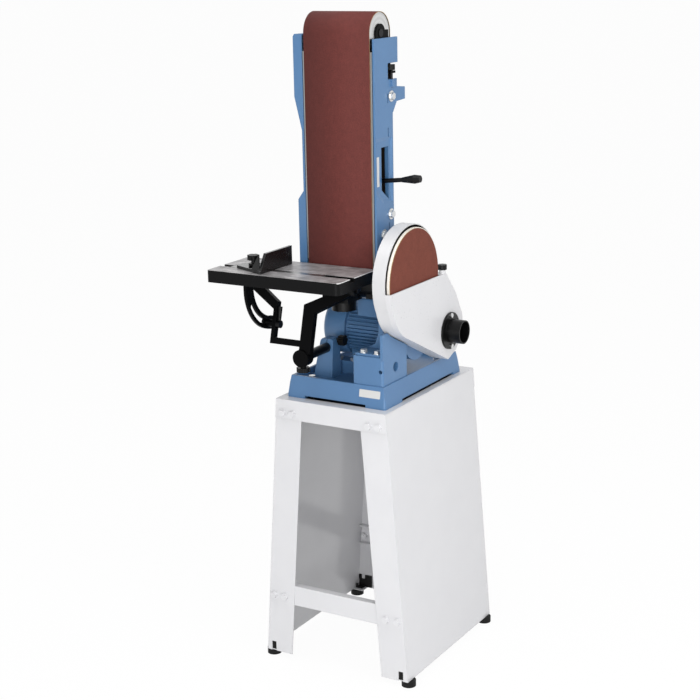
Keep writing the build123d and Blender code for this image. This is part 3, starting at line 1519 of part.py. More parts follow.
# Bracket: leaning Y-shaped fork with a clamp for the rod
lug_left_x1 = bracket_lug_left_x + bracket_lug_thick
lug_right_x0 = bracket_lug_right_x - bracket_lug_thick
bracket_outline = [
    (bracket_lug_left_x, arm_end_top),
    (bracket_lug_left_x, arm_end_low),
    (post_left_x0, arm_root_low),
    (post_left_x0, foot_bar_low),
    (post_right_x0, foot_bar_low),
    (post_right_x0, post_foot_low),
    (post_right_x1, post_foot_low),
    (post_right_x1, arm_root_low),
    (bracket_lug_right_x, arm_end_low),
    (bracket_lug_right_x, arm_end_top),
    (lug_right_x0, arm_end_top),
    (post_right_x0, arm_root_top),
    (post_right_x0, foot_bar_top),
    (post_left_x1, foot_bar_top),
    (post_left_x1, arm_root_top),
    (lug_left_x1, arm_end_top),
]
at_pivot = Pos(0, pivot_y, pivot_z)
bracket = at_pivot * Rot(-bracket_lean, 0, 0) * front_plate(bracket_outline, -bracket_half, bracket_half)
bracket += rod_x(ear_r, bracket_lug_left_x, lug_left_x1, pivot_y, pivot_z)
bracket += rod_x(ear_r, lug_right_x0, bracket_lug_right_x, pivot_y, pivot_z)
bracket += rod_y(clamp_r, clamp_front_y, clamp_rear_y, rod_x0, rod_z0)
lock_mid_r = quad_slot_r
lock_y = pivot_y + lock_mid_r * cos(radians(lock_angle))
lock_z = pivot_z + lock_mid_r * sin(radians(lock_angle))
bracket += rod_x(lock_hub_r, quadrant_x1 + air_gap, post_left_x0, lock_y, lock_z)
bracket -= rod_x(lock_r + run_gap, quadrant_x1, post_left_x1, lock_y, lock_z)
bracket -= rod_y(rod_r, rod_front_y, clamp_rear_y, rod_x0, rod_z0)
bracket -= rod_z(clamp_screw_r + run_gap, rod_z0 - clamp_r, rod_z0, rod_x0, clamp_screw_y)
bracket -= rod_x(pivot_r, bracket_lug_left_x, lug_left_x1, pivot_y, pivot_z)
bracket -= rod_x(pivot_r, lug_right_x0, bracket_lug_right_x, pivot_y, pivot_z)
save("table_bracket", bracket)

# Pivot bolts of the table
pivot_bolts = []
bolt_left_x = ear_left_x - air_gap
bolt_right_x = ear_right_x + ear_thick + air_gap
pivot_head = hexagon(bolt_head_flats, 0, bolt_head_height)
left_bolt = rod_x(pivot_r, bolt_left_x, lug_left_x1, pivot_y, pivot_z)
left_bolt += Pos(bolt_left_x, pivot_y, pivot_z) * FACE_LEFT * pivot_head
right_bolt = rod_x(pivot_r, lug_right_x0, bolt_right_x, pivot_y, pivot_z)
right_bolt += Pos(bolt_right_x, pivot_y, pivot_z) * FACE_RIGHT * pivot_head
save("table_pivot_bolts", group([left_bolt, right_bolt]))

# Support rod
save("support_rod", rod_y(rod_r, rod_front_y, rod_rear_y, rod_x0, rod_z0))

# Tilt lock: stud through the quadrant and the left post, lever on the post's right side
lock = rod_x(lock_r, quadrant_x0, post_left_x1 + lock_hub_length, 0, 0)
washer_x1 = quadrant_x0 - air_gap
lock += rod_x(lock_washer_r, washer_x1 - lock_washer_thick, washer_x1, 0, 0)
lock += rod_x(lock_r, washer_x1, quadrant_x0, 0, 0)
hub_x0 = post_left_x1 + air_gap
lock += rod_x(lock_hub_r, hub_x0, hub_x0 + lock_hub_length, 0, 0)
lever_mid_x = hub_x0 + lock_hub_length / 2
lever_cone = Pos(0, 0, lock_lever_length / 2) * Cone(lock_lever_r0, lock_lever_r1, lock_lever_length)
lock += Pos(lever_mid_x, 0, 0) * Rot(-lock_lever_lean, 0, 0) * lever_cone
save("tilt_lock_lever", Pos(0, lock_y, lock_z) * lock)

# Rod clamp knob under the bracket's clamp
clamp = grip_knob(clamp_knob_r, clamp_knob_height, star_lobes, star_lobe_r)
clamp = Pos(0, 0, clamp_neck) * clamp + rod_z(clamp_neck_r, 0, clamp_neck, 0, 0)
clamp += rod_z(clamp_screw_r, -(clamp_r - rod_r - air_gap), 0, 0, 0)
clamp_seat_z = rod_z0 - clamp_r - air_gap
save("rod_clamp_knob", Pos(rod_x0, clamp_screw_y, clamp_seat_z) * FACE_DOWN * clamp)

# Miter gauge: bar, swivelling head with fence, knob
bar_half_y = miter_slot_half - miter_side_gap
bar_top = table_top_z - miter_side_gap
bar_low = slot_bottom_z + miter_side_gap
head_low_z = table_top_z + miter_head_gap
head_top_z = head_low_z + miter_head_thick
lock_x = miter_pivot_x - miter_lock_r
bar = slab(miter_bar_x0, miter_bar_x1, miter_slot_y - bar_half_y, miter_slot_y + bar_half_y, bar_low, bar_top)
bar += rod_z(miter_pin_r, bar_low, head_top_z, miter_pivot_x, miter_slot_y)
bar -= rod_z(miter_stud_r + run_gap, bar_low, bar_top, lock_x, miter_slot_y)
save("miter_bar", bar)
head_front_x = miter_fence_x1 - miter_pivot_x
head_tail_x = miter_tail_x - miter_pivot_x
head_plan = flat(
    [
        (head_front_x, -miter_head_half),
        (head_front_x, miter_head_half),
        (head_tail_x, miter_tail_half),
        (head_tail_x, -miter_tail_half),
    ]
)
swing_slot_half = miter_stud_r + miter_slot_gap
head_plan -= arc_slot(miter_lock_r, swing_slot_half, half_turn - miter_swing, half_turn + miter_swing)
head_plan -= Circle(miter_pin_r + run_gap)
fence = plan_solid(Pos(miter_pivot_x, miter_slot_y) * head_plan, head_low_z, head_top_z)
rib_top_z = head_low_z + miter_rib_height
rib = [(miter_rib_end_x, head_top_z), (miter_fence_x0, head_top_z), (miter_fence_x0, rib_top_z)]
for y0 in (miter_rib_y, -miter_rib_y - miter_rib_thick):
    fence += front_plate(rib, miter_slot_y + y0, miter_slot_y + y0 + miter_rib_thick)
fence_top_z = head_low_z + miter_fence_height
fence_outline = [
    (miter_fence_front_y, head_low_z),
    (miter_fence_rear_y, head_low_z),
    (miter_fence_rear_y, fence_top_z),
    (miter_fence_front_y + miter_fence_slope, fence_top_z),
]
fence += side_plate(fence_outline, miter_fence_x0, miter_fence_x1)
save("miter_fence", fence)
miter_knob = grip_knob(miter_knob_r, miter_knob_height, star_lobes, star_lobe_r)
neck_low_z = head_top_z + air_gap
miter_knob = Pos(0, 0, neck_low_z + miter_neck) * miter_knob
miter_knob += rod_z(miter_neck_r, neck_low_z, neck_low_z + miter_neck, 0, 0)
miter_knob += rod_z(miter_flange_r, neck_low_z, neck_low_z + miter_flange, 0, 0)
miter_knob += rod_z(miter_stud_r, bar_low, neck_low_z, 0, 0)
save("miter_knob", Pos(lock_x, miter_slot_y) * miter_knob)

# Switch box on the left panel, with start and stop buttons
switch_outline = [
    (-panel_x(switch_z0), switch_z0),
    (switch_outer_x, switch_z0),
    (switch_outer_x, switch_z1),
    (-panel_x(switch_z1), switch_z1),
]
switch_inner = [
    (-panel_x(switch_z0) - switch_wall, switch_z0 + switch_wall),
    (switch_outer_x + switch_wall, switch_z0 + switch_wall),
    (switch_outer_x + switch_wall, switch_z1 - switch_wall),
    (-panel_x(switch_z1) - switch_wall, switch_z1 - switch_wall),
]
switch_mid_y = (switch_y0 + switch_y1) / 2
switch = front_plate(switch_outline, switch_y0, switch_y1)
switch -= front_plate(switch_inner, switch_y0 + switch_wall, switch_y1 - switch_wall)
switch_gland_x = (switch_outer_x - panel_x(switch_z0)) / 2
switch -= rod_z(gland_r - gland_step, switch_z0, switch_z0 + switch_wall, switch_gland_x, switch_mid_y)
for r, z in ((button_r, button_z_start), (stop_button_r, button_z_stop)):
    switch -= rod_x(r + air_gap, switch_outer_x, switch_outer_x + switch_wall, switch_mid_y, z)
save("switch_box", switch)
for name, r, z in (("start_button", button_r, button_z_start), ("stop_button", stop_button_r, button_z_stop)):
    button = rod_x(r, switch_outer_x - button_out, switch_outer_x + button_in, switch_mid_y, z)
    flange_x = switch_outer_x + switch_wall + air_gap
    button += rod_x(r + button_flange_r, flange_x, flange_x + button_flange_r, switch_mid_y, z)
    save(name, button)

# Cable glands on the switch box and the motor's terminal box


def gland():
    body = hexagon(gland_nut_flats, 0, gland_nut_length)
    body += rod_z(gland_r, 0, gland_length, 0, 0)
    body += rod_z(gland_r - gland_step, -gland_spigot, 0, 0, 0)
    return body - rod_z(gland_bore_r, -gland_spigot, gland_length, 0, 0)


switch_gland = Pos(switch_gland_x, switch_mid_y, switch_z0) * FACE_DOWN * gland()
motor_gland = Pos(terminal_mid_x, terminal_half_y, terminal_gland_z) * FACE_REAR * gland()
save("cable_glands", group([switch_gland, motor_gland]))
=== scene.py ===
"""Looks of a belt and disc sander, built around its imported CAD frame."""

import math

import bmesh
import bpy
from bpy.props import FloatProperty, FloatVectorProperty, IntProperty, PointerProperty
from mathutils import Matrix, Vector


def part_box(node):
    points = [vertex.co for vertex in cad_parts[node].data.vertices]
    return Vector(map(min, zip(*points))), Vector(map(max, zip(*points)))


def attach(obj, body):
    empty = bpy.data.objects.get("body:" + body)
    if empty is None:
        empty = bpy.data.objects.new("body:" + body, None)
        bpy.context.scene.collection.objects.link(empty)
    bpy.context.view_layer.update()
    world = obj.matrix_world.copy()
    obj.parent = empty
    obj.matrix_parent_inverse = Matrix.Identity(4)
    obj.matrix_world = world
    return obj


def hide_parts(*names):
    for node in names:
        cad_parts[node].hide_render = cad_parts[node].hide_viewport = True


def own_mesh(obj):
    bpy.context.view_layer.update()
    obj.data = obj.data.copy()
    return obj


bl_info = {
    "name": "Belt and disc sander",
    "version": (1, 0, 0),
    "blender": (4, 5, 0),
    "location": "View3D > Sidebar > Sander",
    "description": "Gives the packed belt and disc sander its finishes, sanding belt and plates",
    "category": "Object",
}

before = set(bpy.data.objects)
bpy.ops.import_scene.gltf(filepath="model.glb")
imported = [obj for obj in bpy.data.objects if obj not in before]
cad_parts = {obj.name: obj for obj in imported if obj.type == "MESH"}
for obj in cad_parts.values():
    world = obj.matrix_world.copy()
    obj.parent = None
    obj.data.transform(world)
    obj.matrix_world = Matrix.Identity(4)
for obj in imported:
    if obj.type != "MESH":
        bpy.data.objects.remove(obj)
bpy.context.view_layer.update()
MM = 0.001

# A face looks along an axis when its normal has more than this share along it.
FACING = 0.7
# Rays that round an edge in a finish.
EDGE_RAYS = 4
# The Wave texture multiplies its place by this before it takes the sine.
WAVE_FACTOR = 20
# Clouds of slightly other tone in a sprayed coat, and how far its roughness varies.
COAT_CLOUD_MM = 70
COAT_SHEEN = 0.07
# Painted shade under a covering piece starts this far inside the piece's outline.
PAINTED_SHADE_INSET = 3 * MM
# The painted shade in the guard keeps this far from its outer skin, and this far from its front
# lip.
GUARD_SKIN = 1.0 * MM
GUARD_LIP = 0.5 * MM
# The table is ground bright this far down from its top, and its right edge takes a painted
# highlight this far down.
GROUND_DEPTH = 0.3 * MM
EDGE_HIGHLIGHT_DEPTH = 1.6 * MM
EDGE_HIGHLIGHT_FACING = 0.6
GROUND_METALLIC = 0.55
# The belt's joint: a slanted butt splice.
SPLICE_WIDTH = 1.5 * MM
SPLICE_SLANT = math.radians(25)
# Corners of the belt's section that lie closer than this are one.
BELT_MERGE = 0.05 * MM
# The base's front skirt leans back, and its plate lies on it at this place.
SKIRT_LEAN = math.radians(-10.4)
SKIRT_PLATE_X = 107.3 * MM
SKIRT_PLATE_Y = 4.58 * MM  # behind the casting's front
SKIRT_PLATE_Z = 612.6 * MM
# The arm's strip lies in the pocket, which is 3.2 mm deep, and the tracking screw's boss stands
# 4 mm proud of the plate round it. The other two are measured from the drum's axis.
ARM_STRIP_X = 6.95 * MM
ARM_STRIP_Y = 25.5 * MM
ARM_STRIP_Z = 213.5 * MM
# Share of the floor's own white in what the camera sees of it, so that a soft shadow stays.
FLOOR_WHITE = 0.96
# Each lamp: its name, the value with its power, its side, its place and what it is aimed at.
LAMPS = (
    ("key_lamp", "key", 2.2, (-0.3, -0.8, 3.6), (0, 0, 0.8)),
    ("fill_lamp", "fill", 1.8, (2.1, -0.6, 2.0), (0, 0, 0.9)),
    ("front_lamp", "front", 1.4, (1.2, -2.6, 1.0), (0, 0, 0.75)),
)
# The camera: its sensor, how far it sees, its place, and its turn, tilt and roll.
SENSOR_MM = 36.0
SIGHT = 200.0
CAMERA_PLACE = (1.60805, -2.72485, 1.4902)
CAMERA_TURN = math.radians(30.83)
CAMERA_TILT = math.radians(14.71)
CAMERA_ROLL = math.radians(-1.15)


def linear(hex_code):
    """A linear RGBA colour from an sRGB hex value."""

    def channel(start):
        share = int(hex_code[start : start + 2], 16) / 255
        return share / 12.92 if share <= 0.04045 else ((share + 0.055) / 1.055) ** 2.4

    return (channel(0), channel(2), channel(4), 1.0)


def shade(tint, share):
    """A colour made darker or paler by a share."""
    return tuple(min(1.0, share * part) for part in tint[:3]) + (1.0,)


def colour(name, description, hex_code):
    """A colour property with its default from a hex value."""
    return FloatVectorProperty(
        name=name,
        description=description,
        subtype="COLOR",
        size=4,
        min=0.0,
        max=1.0,
        default=linear(hex_code),
    )


def length(name, description, metres):
    """A length property in metres."""
    return FloatProperty(
        name=name, description=description, subtype="DISTANCE", unit="LENGTH", default=metres
    )


def count(name, description, default, least):
    """A whole number property."""
    return IntProperty(name=name, description=description, default=default, min=least)


def power(name, description, watts):
    """A lamp's power property in watts."""
    return FloatProperty(name=name, description=description, subtype="POWER", default=watts)


class SanderColours(bpy.types.PropertyGroup):
    """Colours of the sander's finishes."""

    blue: colour("Blue enamel", "Castings, motor and belt arm", "4C76A1")
    blue_low: colour("Blue enamel, low", "The enamel in its hollows", "466F9B")
    white: colour("White powder coat", "Stand and front cover of the disc", "D7D7D9")
    white_low: colour("White powder coat, low", "The powder coat in its hollows", "D1D1D4")
    # Painted shade: the stand's top is drawn near black under the base, where shade falls.
    painted_shade: colour("Grime", "Oil and dust on the stand's top under the base", "141312")
    guard: colour("White guard", "Rim and back of the disc guard", "CFCFD1")
    # Painted shade: the inside of the disc guard is drawn near black, with a mottle.
    guard_shade: colour("Sanding dust", "Inside of the disc guard", "1D1917")
    black: colour("Black paint", "Table sides, bracket and fork", "080809")
    lacquer: colour("Black lacquer", "Miter head", "161617")
    # The miter head's upward faces are drawn in this lighter grey.
    upward_grey: colour("Rubbed lacquer", "Upper faces of the miter head", "7C7C7D")
    plastic: colour("Black plastic", "Knobs, grips, dust port and hood", "0B0B0C")
    rubber: colour("Rubber", "Feet and drive belt", "141414")
    rubber_low: colour("Rubber, low", "The rubber in its hollows", "0D0D0D")
    belt_grit: colour("Belt grit", "Grain of the sanding belt", "5E2B27")
    disc_grit: colour("Disc grit", "Grain of the sanding disc", "6E392D")
    backing: colour("Cloth edge", "Cut edges of the sanding belt and disc", "A58B63")
    # The inside of the belt's loop is drawn in this dark tone.
    backing_low: colour("Cloth back", "Back of the sanding belt, dark with dust", "1E1814")
    iron: colour("Ground iron", "Top of the work table", "CCCACB")
    # Painted highlight: the table's ground edge, drawn brighter on the right side only, where the
    # light falls.
    iron_edge_highlight: colour("Ground edge", "Bright right edge of the work table", "DEDEDE")
    steel: colour("Ground steel", "Miter bar, platen and shafts", "A9A9A8")
    blackened: colour("Blackened steel", "Support rod, pivot bolts, lever and axle", "2C2C2E")
    spring: colour("Spring steel", "Disc springs", "5A5A5C")
    stator: colour("Iron sheets", "Stator of the motor", "6E655C")
    zinc: colour("Zinc plate", "Bolts, screws and washers", "E6E7E7")
    aluminium: colour("Turned aluminium", "Rollers and pulleys", "DADADA")
    disc_plate: colour("White lacquer", "Disc plate", "EFEAE2")
    disc_plate_low: colour("White lacquer, low", "The disc plate in its hollows", "E6E0D6")
    blank: colour("Plate face", "Blank plates on the base and the arm", "D2D2D1")
    blank_low: colour("Plate face, low", "The blank plates in their hollows", "C9C9C7")
    start: colour("Start button", "Green cap of the switch", "1E7A35")
    stop: colour("Stop button", "Red cap of the switch", "B3201B")


class SanderPieces(bpy.types.PropertyGroup):
    """Sizes of the pieces that are added to the CAD frame."""

    belt_thick: length("Belt thickness", "Cloth and grain together", 1.2 * MM)
    belt_steps: count("Belt steps", "Steps round each roller", 40, 8)
    disc_steps: count("Disc steps", "Steps round the sanding disc", 144, 24)
    tension_give: length(
        "Tension give", "How far the idler sinks when the lever takes the tension off", 5.8 * MM
    )
    spring_bore: length("Spring bore", "Radius of the hole in each disc spring", 8.6 * MM)
    spring_plate: length("Spring plate", "Thickness of each disc spring", 1.6 * MM)
    spring_air: length("Spring air", "Gap between two disc springs", 0.3 * MM)
    spring_count: count("Spring count", "Disc springs in the stack", 6, 1)
    spring_steps: count("Spring steps", "Steps round each disc spring", 40, 8)
    plate_thick: length("Plate thickness", "Blank plates on the base and the arm", 0.5 * MM)
    plate_corner: length("Plate corner", "Corner radius of the blank plates", 1.5 * MM)
    base_plate_width: length("Base plate width", "Blank plate on the base", 48 * MM)
    base_plate_height: length("Base plate height", "Blank plate on the base", 15.5 * MM)
    arm_strip_width: length("Arm strip width", "Blank strip on the arm", 9 * MM)
    arm_strip_height: length("Arm strip height", "Blank strip on the arm", 59 * MM)


class SanderStage(bpy.types.PropertyGroup):
    """Floor, lights and camera."""

    floor: colour("Floor", "Pale matt floor", "FAFAFA")
    floor_size: length("Floor size", "Side of the square floor", 120.0)
    sky: FloatProperty(name="Sky", description="Strength of the light from all round", default=0.4)
    key: power("Key light", "Power of the large lamp above", 45.0)
    fill: power("Fill light", "Power of the lamp at the right", 28.0)
    front: power("Front light", "Power of the lamp by the camera", 37.0)
    lens: FloatProperty(
        name="Lens", description="Focal length on a 36 mm sensor", unit="CAMERA", default=80.06
    )


def add(tree, kind, inputs=None, **settings):
    """Adds a node with its settings; an input is a value or another node's output."""
    made = tree.nodes.new(kind)
    for key, value in settings.items():
        setattr(made, key, value)
    for key, value in (inputs or {}).items():
        if isinstance(value, bpy.types.NodeSocket):
            tree.links.new(value, made.inputs[key])
        else:
            made.inputs[key].default_value = value
    return made


def start_finish(name, sockets):
    """A new material with one Principled shader, whose plain values are sockets."""
    material = bpy.data.materials.new(name)
    material.use_nodes = True
    tree = material.node_tree
    tree.nodes.clear()
    shader = add(tree, "ShaderNodeBsdfPrincipled", sockets)
    add(tree, "ShaderNodeOutputMaterial", {"Surface": shader.outputs[0]})
    place = add(tree, "ShaderNodeTexCoord").outputs["Object"]
    return material, tree, shader, place


def link_finish(tree, shader, outputs):
    """Links a finish's outputs to the shader's sockets."""
    for socket, output in outputs.items():
        tree.links.new(output, shader.inputs[socket])


def per_metre(size_mm):
    """Scale of a pattern whose spots are size_mm across."""
    return 1 / (size_mm * MM)


def coat(
    name,
    high,
    low,
    *,
    peel_mm,
    peel_depth_mm,
    roughness,
    edge_mm,
    specular=0.5,
    upward_tone=None,
    covered=None,
    painted_shade=None,
):
    """A sprayed coat: soft peel, slow change of tone and rounded edges.

    Faces that look up take a lighter colour, and what lies under the node covered takes a painted
    shade.
    """
    material, tree, shader, place = start_finish(name, {"Specular IOR Level": specular})
    cloud = add(
        tree,
        "ShaderNodeTexNoise",
        {"Vector": place, "Scale": per_metre(COAT_CLOUD_MM), "Detail": 3.0},
    )
    tone = add(
        tree,
        "ShaderNodeMix",
        {"Factor": cloud.outputs["Fac"], "A": low, "B": high},
        data_type="RGBA",
    ).outputs["Result"]
    # Faces that look up are drawn in a lighter colour.
    if upward_tone:
        normal = add(tree, "ShaderNodeTexCoord").outputs["Normal"]
        facing = add(tree, "ShaderNodeSeparateXYZ", {"Vector": normal})
        upward = add(
            tree,
            "ShaderNodeMath",
            {0: facing.outputs["Z"], 1: FACING},
            operation="GREATER_THAN",
        )
        tone = add(
            tree,
            "ShaderNodeMix",
            {"Factor": upward.outputs[0], "A": tone, "B": upward_tone},
            data_type="RGBA",
        ).outputs["Result"]
    # Painted shade: what lies under the covering node is drawn in the shade colour.
    if covered:
        first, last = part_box(covered)
        middle, half = (first + last) / 2, (last - first) / 2
        spot = add(tree, "ShaderNodeSeparateXYZ", {"Vector": place})
        wide, deep = (
            add(
                tree,
                "ShaderNodeMath",
                {0: spot.outputs[axis], 1: middle[i], 2: half[i] - PAINTED_SHADE_INSET},
                operation="COMPARE",
            ).outputs[0]
            for i, axis in enumerate("XY")
        )
        under = add(tree, "ShaderNodeMath", {0: wide, 1: deep}, operation="MULTIPLY")
        tone = add(
            tree,
            "ShaderNodeMix",
            {"Factor": under.outputs[0], "A": tone, "B": painted_shade},
            data_type="RGBA",
        ).outputs["Result"]
    peel = add(
        tree,
        "ShaderNodeTexNoise",
        {"Vector": place, "Scale": per_metre(peel_mm), "Detail": 2.0},
    ).outputs["Fac"]
    sheen = add(
        tree,
        "ShaderNodeMapRange",
        {"Value": peel, "To Min": roughness - COAT_SHEEN, "To Max": roughness + COAT_SHEEN},
    )
    edge = add(tree, "ShaderNodeBevel", {"Radius": edge_mm * MM}, samples=EDGE_RAYS)
    skin = add(
        tree,
        "ShaderNodeBump",
        {
            "Height": peel,
            "Distance": peel_depth_mm * MM,
            "Strength": 1.0,
            "Normal": edge.outputs[0],
        },
    )
    link_finish(
        tree,
        shader,
        {"Base Color": tone, "Roughness": sheen.outputs[0], "Normal": skin.outputs[0]},
    )
    return material


def guard_with_shade(name, white, guard_shade):
    """White powder coat on spun sheet, with a mottled painted shade inside the rim and on the
    back.
    """
    guard_low, guard_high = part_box("disc_guard")
    disc_low, disc_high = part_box("disc_plate")
    axis = (disc_low + disc_high) / 2
    material, tree, shader, place = start_finish(name, {"Roughness": 0.3})
    centred = add(
        tree,
        "ShaderNodeMapping",
        {"Vector": place, "Location": (0, -axis.y, -axis.z), "Scale": (0, 1, 1)},
    )
    reach = add(tree, "ShaderNodeVectorMath", {0: centred.outputs[0]}, operation="LENGTH")
    across = add(tree, "ShaderNodeSeparateXYZ", {"Vector": place}).outputs["X"]
    limits = (
        (reach.outputs["Value"], guard_high.z - axis.z - GUARD_SKIN, "LESS_THAN"),
        (across, guard_low.x + GUARD_SKIN, "GREATER_THAN"),
        (across, guard_high.x - GUARD_LIP, "LESS_THAN"),
    )
    inside, ahead, behind = (
        add(tree, "ShaderNodeMath", {0: value, 1: limit}, operation=test).outputs[0]
        for value, limit, test in limits
    )
    between = add(tree, "ShaderNodeMath", {0: ahead, 1: behind}, operation="MULTIPLY")
    # Painted shade, mottled, inside the guard where shade falls.
    in_shade = add(
        tree, "ShaderNodeMath", {0: between.outputs[0], 1: inside}, operation="MULTIPLY"
    )
    cloud = add(
        tree, "ShaderNodeTexNoise", {"Vector": place, "Scale": per_metre(12), "Detail": 4.0}
    )
    layer = add(
        tree,
        "ShaderNodeMix",
        {"Factor": cloud.outputs["Fac"], "A": guard_shade, "B": shade(guard_shade, 1.8)},
        data_type="RGBA",
    )
    tone = add(
        tree,
        "ShaderNodeMix",
        {"Factor": in_shade.outputs[0], "A": white, "B": layer.outputs["Result"]},
        data_type="RGBA",
    )
    peel = add(
        tree, "ShaderNodeTexNoise", {"Vector": place, "Scale": per_metre(4), "Detail": 2.0}
    )
    edge = add(tree, "ShaderNodeBevel", {"Radius": 1.2 * MM}, samples=EDGE_RAYS)
    skin = add(
        tree,
        "ShaderNodeBump",
        {"Height": peel.outputs["Fac"], "Distance": 0.03 * MM, "Normal": edge.outputs[0]},
    )
    link_finish(
        tree, shader, {"Base Color": tone.outputs["Result"], "Normal": skin.outputs[0]}
    )
    return material


def tool_lines(tree, shader, lines, tint, low, sheen, edge_mm):
    """Lets a pattern of tool lines change a metal's tone and gloss, and rounds its edges."""
    tone = add(
        tree,
        "ShaderNodeMix",
        {"Factor": lines, "A": shade(tint, low), "B": tint},
        data_type="RGBA",
    )
    gloss = add(
        tree, "ShaderNodeMapRange", {"Value": lines, "To Min": sheen[0], "To Max": sheen[1]}
    )
    edge = add(tree, "ShaderNodeBevel", {"Radius": edge_mm * MM}, samples=EDGE_RAYS)
    link_finish(
        tree,
        shader,
        {
            "Base Color": tone.outputs["Result"],
            "Roughness": gloss.outputs[0],
            "Normal": edge.outputs[0],
        },
    )


def metal(name, tint, *, line_mm, stretch, roughness):
    """A bare or plated metal with fine tool lines, drawn out along the axis of small stretch."""
    material, tree, shader, place = start_finish(name, {"Metallic": 1.0})
    drawn = add(tree, "ShaderNodeMapping", {"Vector": place, "Scale": stretch})
    lines = add(
        tree,
        "ShaderNodeTexNoise",
        {"Vector": drawn.outputs[0], "Scale": per_metre(line_mm), "Detail": 4.0},
    )
    sheen = (roughness - 0.08, roughness + 0.1)
    tool_lines(tree, shader, lines.outputs["Fac"], tint, 0.72, sheen, edge_mm=0.4)
    return material


def turned(name, tint, centre, roughness):
    """Aluminium turned on a lathe: rings round the part's own X axis."""
    # Lathe lines are well under 1 mm apart. They are drawn 9.4 mm apart so that they show.
    ring_mm = 1.5  # for each radian of the wave
    material, tree, shader, place = start_finish(name, {"Metallic": 1.0})
    centred = add(tree, "ShaderNodeMapping", {"Vector": place, "Location": -centre})
    rings = add(
        tree,
        "ShaderNodeTexWave",
        {
            "Vector": centred.outputs[0],
            "Scale": per_metre(ring_mm) / WAVE_FACTOR,
            "Distortion": 0.6,
            "Detail": 2.0,
        },
        wave_type="RINGS",
        rings_direction="X",
    )
    sheen = (roughness - 0.06, roughness + 0.08)
    tool_lines(tree, shader, rings.outputs["Fac"], tint, 0.85, sheen, edge_mm=0.5)
    return material


def grit(name, tint, splice=None):
    """Aluminium oxide grain in resin: a matt, speckled, rough skin, with a belt's splice."""
    # Real grain is about 0.3 mm. It is drawn at 1.4 mm and in 14 mm clouds, so that it shows
    # from a step away.
    sockets = {"Roughness": 0.8, "Specular IOR Level": 0.3}
    material, tree, shader, place = start_finish(name, sockets)
    speck = add(
        tree, "ShaderNodeTexNoise", {"Vector": place, "Scale": per_metre(1.4), "Detail": 5.0}
    )
    cloud = add(
        tree, "ShaderNodeTexNoise", {"Vector": place, "Scale": per_metre(14), "Detail": 3.0}
    )
    both = add(
        tree,
        "ShaderNodeMix",
        {"Factor": 0.25, "A": speck.outputs["Fac"], "B": cloud.outputs["Fac"]},
        data_type="FLOAT",
    )
    spread = add(
        tree,
        "ShaderNodeMapRange",
        {"Value": both.outputs["Result"], "From Min": 0.3, "From Max": 0.7},
    )
    tone = add(
        tree,
        "ShaderNodeMix",
        {"Factor": spread.outputs[0], "A": shade(tint, 0.74), "B": shade(tint, 1.3)},
        data_type="RGBA",
    ).outputs["Result"]
    if splice:
        # The joint runs across the belt's rear run only.
        at_joint = add(
            tree,
            "ShaderNodeMapping",
            {"Vector": place, "Location": splice, "Rotation": (0, SPLICE_SLANT, 0)},
            vector_type="TEXTURE",
        )
        apart = add(tree, "ShaderNodeSeparateXYZ", {"Vector": at_joint.outputs[0]})
        off = add(tree, "ShaderNodeMath", {0: apart.outputs["Z"]}, operation="ABSOLUTE")
        limits = (
            (off.outputs[0], SPLICE_WIDTH / 2, "LESS_THAN"),
            (apart.outputs["Y"], 0.0, "GREATER_THAN"),
        )
        on_line, behind = (
            add(tree, "ShaderNodeMath", {0: value, 1: limit}, operation=test).outputs[0]
            for value, limit, test in limits
        )
        joint = add(tree, "ShaderNodeMath", {0: on_line, 1: behind}, operation="MULTIPLY")
        tone = add(
            tree,
            "ShaderNodeMix",
            {"Factor": joint.outputs[0], "A": tone, "B": shade(tint, 0.4)},
            data_type="RGBA",
        ).outputs["Result"]
    grain = add(
        tree,
        "ShaderNodeBump",
        {"Height": speck.outputs["Fac"], "Distance": 0.4 * MM, "Strength": 0.8},
    )
    link_finish(tree, shader, {"Base Color": tone, "Normal": grain.outputs[0]})
    return material


def backing_cloth(name, tint):
    """Cotton twill glued behind the grain: matt, with its diagonal ribs."""
    # Twill ribs are about 0.8 mm apart. They are drawn some 15 mm apart so that they show.
    rib_mm = 2.0  # for each half radian of the diagonal wave
    sockets = {"Roughness": 0.9, "Specular IOR Level": 0.2}
    material, tree, shader, place = start_finish(name, sockets)
    ribs = add(
        tree,
        "ShaderNodeTexWave",
        {
            "Vector": place,
            "Scale": per_metre(rib_mm) / WAVE_FACTOR,
            "Distortion": 0.8,
            "Detail": 2.0,
        },
        bands_direction="DIAGONAL",
    ).outputs["Fac"]
    tone = add(
        tree,
        "ShaderNodeMix",
        {"Factor": ribs, "A": shade(tint, 0.8), "B": tint},
        data_type="RGBA",
    )
    weave = add(tree, "ShaderNodeBump", {"Height": ribs, "Distance": 0.15 * MM})
    link_finish(
        tree, shader, {"Base Color": tone.outputs["Result"], "Normal": weave.outputs[0]}
    )
    return material


